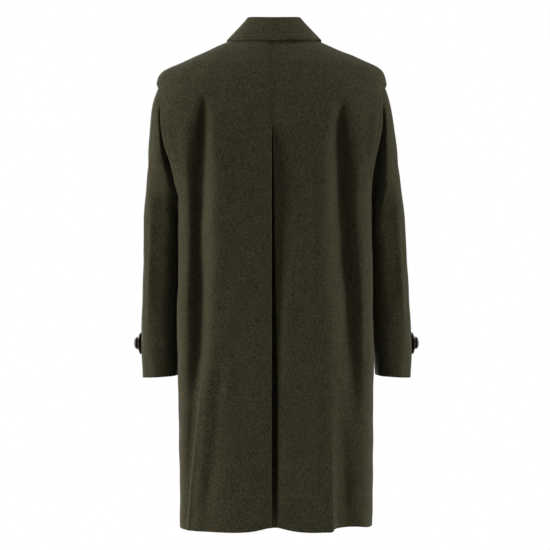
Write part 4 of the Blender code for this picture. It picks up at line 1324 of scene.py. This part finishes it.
for number, height in enumerate(FRONT_BUTTON_HEIGHTS, 1):
    out = form_normal(1, 2.0, height)[0]
    seat = form(1, 2.0, height)[0] + out * (SOLID_CLOTH / 2 + BUTTON_CLEARANCE)
    place_button(f"front_button_{number}_plaited", seat, out, f"front_button_{number}")
for side, word in SIDES:
    grid = strap_grid[word]
    row, column = round(CUFF_BUTTON_SHARE * (STRAP_ROWS - 1)), STRAP_COLUMNS // 2
    out = grid_normals(grid, (side, 0, 0))[row, column]
    seat = grid[row, column] + out * (STRAP_CLOTH / 2 + SEAM_GAP)
    place_button(f"cuff_button_{word}_plaited", seat, out, f"cuff_button_{word}")
bpy.data.objects.remove(master_button)

# %% [markdown]
# ## Stitching
# Topstitching runs inside the collar's edge, the flanges and the edge of the left front. A stitch is a
# tiny grain of thread, modelled once. Each line of stitches is one piece made of its copies, laid end
# to end along the cloth's own points.

# %% Sew
STITCH_LENGTH, STITCH_PITCH, STITCH_RADIUS = 0.0034, 0.0046, 0.00042
COLLAR_STITCH_INSET, COLLAR_STITCH_SINK = 0.011, 0.0002
COLLAR_STITCH_ENDS = slice(3, -3)


def model_stitch():
    """The points and faces of one grain of thread, lying along x."""
    bpy.ops.object.select_all(action="DESELECT")
    bpy.ops.mesh.primitive_uv_sphere_add(segments=6, ring_count=5, radius=1)
    grain = bpy.context.object
    co = np.array([v.co[:] for v in grain.data.vertices])[:, [2, 0, 1]]
    faces = [tuple(p.vertices) for p in grain.data.polygons]
    bpy.data.objects.remove(grain)
    return co * (STITCH_LENGTH / 2, STITCH_RADIUS, STITCH_RADIUS), faces


grain_points, grain_faces = model_stitch()


def sew(name, path, out, lift):
    """A line of stitches along path, lying on the cloth that faces out."""

    def at(places, rows):
        return np.stack([np.interp(places, travelled, rows[:, k]) for k in range(3)], axis=1)

    steps = np.linalg.norm(np.diff(path, axis=0), axis=1)
    travelled = np.concatenate([[0], np.cumsum(steps)])
    marks = np.arange(STITCH_PITCH / 2, travelled[-1], STITCH_PITCH)
    centre, face = at(marks, path), unit(at(marks, out))
    along = unit(at(marks + NUDGE, path) - centre)
    across = unit(np.cross(face, along))
    points = (
        (centre + face * lift)[:, None]
        + grain_points[None, :, :1] * along[:, None]
        + grain_points[None, :, 1:2] * across[:, None]
        + grain_points[None, :, 2:] * np.cross(along, across)[:, None]
    )
    count = len(grain_points)
    faces = [tuple(v + k * count for v in corners) for k in range(len(marks)) for corners in grain_faces]
    mesh = bpy.data.meshes.new(name)
    mesh.from_pydata(points.reshape(-1, 3).tolist(), [], faces)
    mesh.materials.append(thread)
    line = bpy.data.objects.new(name, mesh)
    bpy.context.collection.objects.link(line)
    bpy.ops.object.select_all(action="DESELECT")
    line.select_set(True)
    bpy.context.view_layer.objects.active = line
    bpy.ops.object.shade_smooth()
    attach(line, "root")
    print(name, "stitches:", len(marks))


for word in ("left", "right"):
    path, out = flange_paths[word]
    sew(f"flange_stitching_{word}", path, out, CLOTH / 2)

# %% Collar and front edge stitching
edge, above = collar_points[:, -1], collar_points[:, -2]
share = np.clip(COLLAR_STITCH_INSET / np.linalg.norm(edge - above, axis=1), 0, 0.95)[:, None]
path = mix(edge, above, share)[COLLAR_STITCH_ENDS]
out = grid_normals(collar_points, (0, 1, 0))[COLLAR_STITCH_ENDS, -2]
sew("collar_stitching", path, out, COLLAR_CLOTH / 2 - COLLAR_STITCH_SINK)

points = front_points["left"]
waist = int(np.argmin(np.abs(PANEL_ROWS - FINE_FROM)))
from_edge = lengths(points[:, ::-1])[waist]
column = points.shape[1] - 1 - int(np.argmin(np.abs(from_edge - FRONT_STITCH_INSET)))
sew("front_edge_stitching", points[:, column], grid_normals(points, (0, -1, 0))[:, column], CLOTH / 2)
